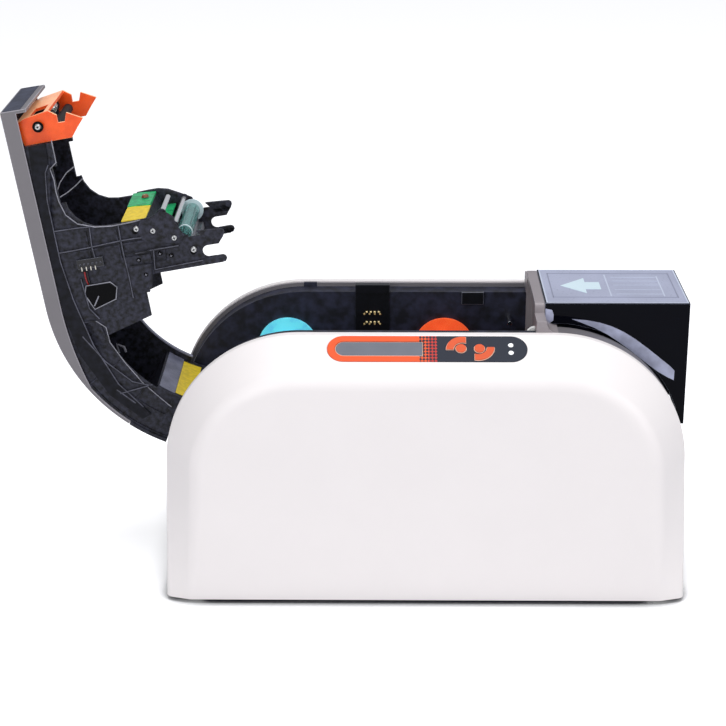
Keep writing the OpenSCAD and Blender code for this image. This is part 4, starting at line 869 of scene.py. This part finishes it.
def arc_band(name, inner, outer, start, end, count, low, high, skin):
    """A band between two radii of the cover's arc, from start to end in degrees."""
    centre = (-68.9, 76.0)
    outline = arc(centre, inner, start, end, count) + arc(centre, outer, end, start, count)
    upright_plate(name, outline, low, high, skin, place=swing)


arc_band("far_arm_lip", 92.6, 100, 108, 148, 24, -39.4, -36.6, frame_black)
arc_band("far_arm_lip_edge", 92.3, 93.2, 108, 148, 24, -39.6, -36.0,
         moulded_plastic("lavender_sheen_abs", "#7d7f92", 0.35, tone=0.2, drift_mm=10))
arc_band("arm_floor_painted_sheen", 97.15, 97.45, 137.6, 145.0, 12, -36.2, 36.2,
         moulded_plastic("grey_painted_floor_sheen", "#74768a", 0.3, tone=0.3, drift_mm=14))
# Painted shade: a near-black sheet in the near wall's window.
window_shade = [(-244.8, 214.5), (-243.8, 220.9), (-226.8, 223.8), (-222.6, 220.4),
                (-223.6, 211.8), (-238.6, 204.2)]
upright_plate("window_shade", window_shade, 38.6, 39.4, black_and_painted_shade)
ribs("cable_clip", [[(-226.9, -10, 159.7), (-228.1, -10, 166.8), (-223.0, -10, 164.5),
                     (-221.7, -10, 160.5)]], "cover", wall_slot, bead_highlight, 1.3, 1.6)

# A channel runs down the shell's side beside the wall, painted as a dark shaded strip with a
# painted highlight along its edge.
channel = [(-279.8, 323.2), (-267.6, 326.0), (-266.4, 310.3), (-268.7, 304.7), (-268.5, 284.9),
           (-265.0, 261.5), (-261.5, 239.2), (-253.7, 210.7), (-240.9, 176.4), (-224.1, 146.5),
           (-206.5, 128.5), (-200.9, 122.9), (-207.3, 119.1), (-230.7, 137.6), (-251.2, 168.7),
           (-262.4, 203.1), (-271.5, 259.2), (-277.7, 299.4)]
# Painted shade: a deep cloudy black with little shine.
channel_painted_shade = moulded_plastic("painted_shade_channel", "#101119", 0.5, tone=0.6, drift_mm=5,
                              specular=0.2)
upright_plate("shell_side_channel", channel, 39.2, 39.9, channel_painted_shade)
wall_ribs("channel_edge", [channel[2:11]], rib_edge_highlight, 0.6, 0.8, 0.2, -39.9)

# Humps on both walls hide the guide shafts' ends, and a raised block carries the ribbon sensor.
near_hump = [(-206.0, 262.0), (-203.5, 270.2), (-199.3, 270.6), (-194.2, 274.0), (-189.1, 277.1),
             (-184.2, 276.0), (-180.0, 273.2), (-178.2, 268.6), (-175.8, 264.6), (-172.4, 259.4),
             (-176.0, 254.0), (-190.0, 254.0), (-202.0, 256.0)]
far_hump = [(-215.0, 266.0), (-215.0, 269.8), (-206.7, 271.6), (-199.2, 272.9), (-191.7, 272.4),
            (-182.9, 269.4), (-174.0, 266.1), (-171.4, 261.0), (-170.6, 254.0), (-190.0, 250.0),
            (-205.0, 254.0)]
upright_plate("near_wall_hump", near_hump, 39.3, 40.4, frame_black)
upright_plate("far_wall_hump", far_hump, -40.2, -37.0, frame_black)
fork_tips = {"upper": [(-164.0, 262.2), (-150.8, 263.6), (-146.4, 263.9), (-144.6, 262.9),
                       (-144.2, 261.0), (-144.9, 258.8), (-146.3, 256.4), (-151.5, 255.8),
                       (-156.0, 255.2)],
             "lower": [(-154.8, 243.0), (-145.4, 244.7), (-143.4, 244.0), (-142.5, 242.1),
                       (-143.3, 240.3), (-146.1, 239.5), (-158.3, 237.6), (-162.0, 240.0)]}
fork_t = 3
for name, outline in fork_tips.items():
    for side, low in (("near", 36.5), ("far", -39.5)):
        upright_plate("%s_%s_fork_tip" % (side, name), outline, low, low + fork_t, frame_black)
upright_plate("ribbon_sensor_block", [(-212.6, 236.0), (-196.6, 238.6), (-196.2, 221.4),
                                      (-210.4, 218.4)], 39.0, 40.8, frame_black)
ribs("sensor_block_edges", [wall_run([(-212.6, 236.0), (-196.6, 238.6), (-196.2, 221.4)], -40.6),
                            wall_run([(-215.7, 245.3), (-197.3, 247.9)], -39.9),
                            wall_run([(-193.6, 249.6), (-186.5, 250.6), (-186.0, 241.0),
                                      (-193.4, 239.6), (-193.6, 249.6)], -39.6)],
     "cover", wall_slot, rib_painted_shade, 0.7, 0.8)
sensor_eyes = [(-205.5, -39.6, 240.9), (-205.0, -39.6, 232.0), (-190.2, -39.6, 245.7),
               (-182.2, -39.6, 244.3), (-200.6, -40.7, 230.4)]
grown("sensor_eyes", screw_tree, sensor_eyes, "cover", wall_slot, Diameter=3.4 * mm,
      Height=0.8 * mm, Head=black_and_painted_shade, Recess=bead_highlight)
wall_screws = [(-206.4, -39.7, 263.8), (-194.6, -39.9, 262.6), (-179.6, -39.9, 257.5),
               (-166.0, -39.7, 248.7)]
welded_piece("cover_screws", black_and_painted_shade, 0.15)
grown("wall_screws", screw_tree, wall_screws, "cover", slot_of["cover_screws"], Diameter=4.4 * mm,
      Height=1.1 * mm, Head=zinc_plate, Recess=black_and_painted_shade)

# The white-tipped plug of the head's cable, and two leads that dive through the wall beside it.
welded_piece("cover_connector", socket_black, 0.2, black_abs_edge_highlight)
pin_pearl = moulded_plastic("pale_plug_tooth", "#d6d2c6", 0.4)
plug_teeth = [[(x, -41.0, z + 1.4), (x + 0.4, -41.0, z - 1.4)] for x, z in
              ((-246.5, 234.2), (-243.2, 234.7), (-240.0, 235.2), (-236.7, 235.7))]
ribs("plug_teeth", plug_teeth, "cover", slot_of["contact_pins"], pin_pearl, 0.7, 0.7, 0.1)
# Soft PVC is smooth with a dull shine; the teeth are bare nylon, like old ivory.
red_lead = moulded_plastic("red_pvc_lead", "#8c1f22", 0.4)
black_lead = moulded_plastic("black_pvc_lead", "#101013", 0.4)
lead_path = [(-244.6, -40.4, 232.0), (-244.2, -40.6, 229.0), (-243.6, -40.3, 226.0),
             (-242.8, -39.0, 223.0), (-242.2, -36.0, 220.6)]
for name, skin, shift in (("red_lead", red_lead, 0.0), ("black_lead", black_lead, 1.6)):
    ribs(name, [[(x + shift, y, z) for x, y, z in lead_path]], "cover", wall_slot, skin, 1.2, 1.2,
         0.55)

# ------------------------------------------------------------------ print head
# An alloy heater bar under a black carrier between the walls, a green board beside it, and two
# chromed steel shafts that guide the ribbon. A brown relay sits on the board.

welded_piece("head_carrier", frame_black, 0.3, black_abs_edge_highlight)
welded_piece("print_head", cast_alloy, 0.2)
welded_piece("head_board", solder_mask, 0.1)
# Hard chrome: near white, mirror-like along the shaft with faint grinding marks round it.
chrome = metal("chromed_shaft", "#f2f3f5", 0.14, streak=(6, 0.3, 6), bright=0.75)
shaft_tree, given = new_tree("ground_shafts", Diameter=3.6 * mm, Metal=None)
radius = add_node(shaft_tree, "ShaderNodeMath", {"operation": "MULTIPLY"},
                  _0=given["Diameter"], _1=0.5).outputs[0]
ring = add_node(shaft_tree, "GeometryNodeCurvePrimitiveCircle", Resolution=32, Radius=radius)
sweep(shaft_tree, given, ring.outputs[0], given["Metal"])


def on_cover(x, y, z):
    """A place on the shut cover, swung open, in millimetres."""
    return tuple(swing @ (Vector((x, y, z)) * mm) / mm)


shaft_ends = [on_cover(-13.0, -38.4, 114.0), on_cover(-13.0, 8, 114.0),
              on_cover(-23.4, -38.4, 107.0), on_cover(-23.4, 38.4, 107.0)]
shafts = grown("chromed_guide_shafts", shaft_tree, shaft_ends, "cover", slot_of["guide_shafts"],
               [(0, 1), (2, 3)], Metal=chrome)
smooth_shaded(shafts.data, 40)
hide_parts("guide_shafts")
relay_brown = moulded_plastic("brown_relay_case", "#7a4a2c", 0.4, tone=0.2)
grown("board_relay", screw_tree, [on_cover(-13.2, 20, 132.5)], "cover", slot_of["head_board"],
      Diameter=5.6 * mm, Height=1.6 * mm, Facing=(-0.165, 0.0, 0.986), Head=relay_brown,
      Recess=moulded_plastic("pale_relay_mark", "#c9b08a", 0.5))
# Polyester stickers, plain yellow with a satin coat.
welded_piece("cover_labels", moulded_plastic("yellow_printed_film", "#e8cb2c", 0.4, grain_mm=2.0,
                                             depth=0.05, tone=0.12, drift_mm=3), 0)

# ------------------------------------------------------------------ ribbon guide roller
# A clear tinted acrylic tube with slots, on a steel core, carries the ribbon past the head. Its
# far end has a wide clear flange.

# Tinted acrylic is clear teal with a polished face, frosted white where it is cut.
teal_acrylic = clear_plastic("tinted_acrylic", "#8fcac6", 2, 0.08, 0.2, Transmission_Weight=0.7,
                             IOR=1.49)
teal_edge = moulded_plastic("frosted_acrylic_edge", "#c3d6da", 0.35)
slot_painted_shade = moulded_plastic("painted_shade_in_acrylic_slot", "#2f5b5c", 0.3)
welded_piece("ribbon_roller", teal_acrylic, 0.6, teal_edge)
roller_body, roller_slot = body_of["ribbon_roller"], slot_of["ribbon_roller"]
x, y, z = joints["ribbon_guide_spin"]["pos_m"]
core = (x / mm, z / mm)
tube_r, flange_r, disc_steps = 5.2, 8.2, 48
# Painted shade: dark teal bars along the tube stand for the shade inside its slots.
slots = [[(x, y0, z), (x, y1, z)] for x, z in arc(core, tube_r, 10, 325, 7)
         for y0, y1 in ((-26, -4), (2, 24))]
ribs("roller_slots", slots, roller_body, roller_slot, slot_painted_shade, 1.3, 0.5, 0.2)
upright_plate("roller_flange", arc(core, flange_r, 0, 360, disc_steps)[:-1], -29.6, -28.2,
              teal_edge, roller_body)

# ------------------------------------------------------------------ latch
# An orange acetal bridge with two hooks, on a shouldered screw with a black washer. A black rubber
# roller and a bright torsion spring show through its window.

# Acetal is waxy and the light goes in a little. Its faces that look up and its rounded edges are
# painted a pale orange as a highlight, with a painted glow.
acetal_painted_highlight = moulded_plastic("painted_highlight_of_acetal", "#ffb184", 0.3, tone=0.12, drift_mm=6,
                              glow=0.3, lit=0.25)
latch = welded_piece("cover_latch", orange_acetal, 0.5, acetal_painted_highlight)
# Painted highlight: the latch's upward faces take the pale orange.
for polygon in latch.data.polygons:
    if polygon.normal.z > 0.8:
        polygon.material_index = 1
welded_piece("latch_roller", black_rubber, 0.2)
welded_piece("latch_spring", zinc_plate, 0)
x, y, z = joints["latch_pivot"]["pos_m"]
pivot = (x / mm, z / mm)
washer_r, washer_t, cheek = 3.9, 0.5, 37.0
screw_slot = slot_of["cover_screws"]
upright_plate("latch_washer", arc(pivot, washer_r, 0, 360, 40)[:-1], cheek, cheek + washer_t,
              black_and_painted_shade, "latch")
grown("latch_pivot_screw", screw_tree, [(pivot[0], -cheek - washer_t, pivot[1])], "latch",
      screw_slot, Diameter=4.6 * mm, Height=1.2 * mm, Head=zinc_plate, Recess=black_and_painted_shade)

# The cover's free end is hollow: a navy-grey sheet set between the shell's two pale lips paints
# the shade inside it. The painted shade has no shine at all, only a soft cloudy navy.
end_painted_shade = moulded_plastic("navy_painted_shade_of_hollow_end", "#383c4c", 0.7, tone=0.3, drift_mm=12)
end_face = Matrix(((0, 0, 1, 77 * mm), (1, 0, 0, 0), (0, 1, 0, 0), (0, 0, 0, 1)))
plate("cover_end_painted_shade", box_outline(-39.6, 39.6, 195.6, 208.4), 0, 0.25, end_painted_shade, "cover",
      swing @ end_face)
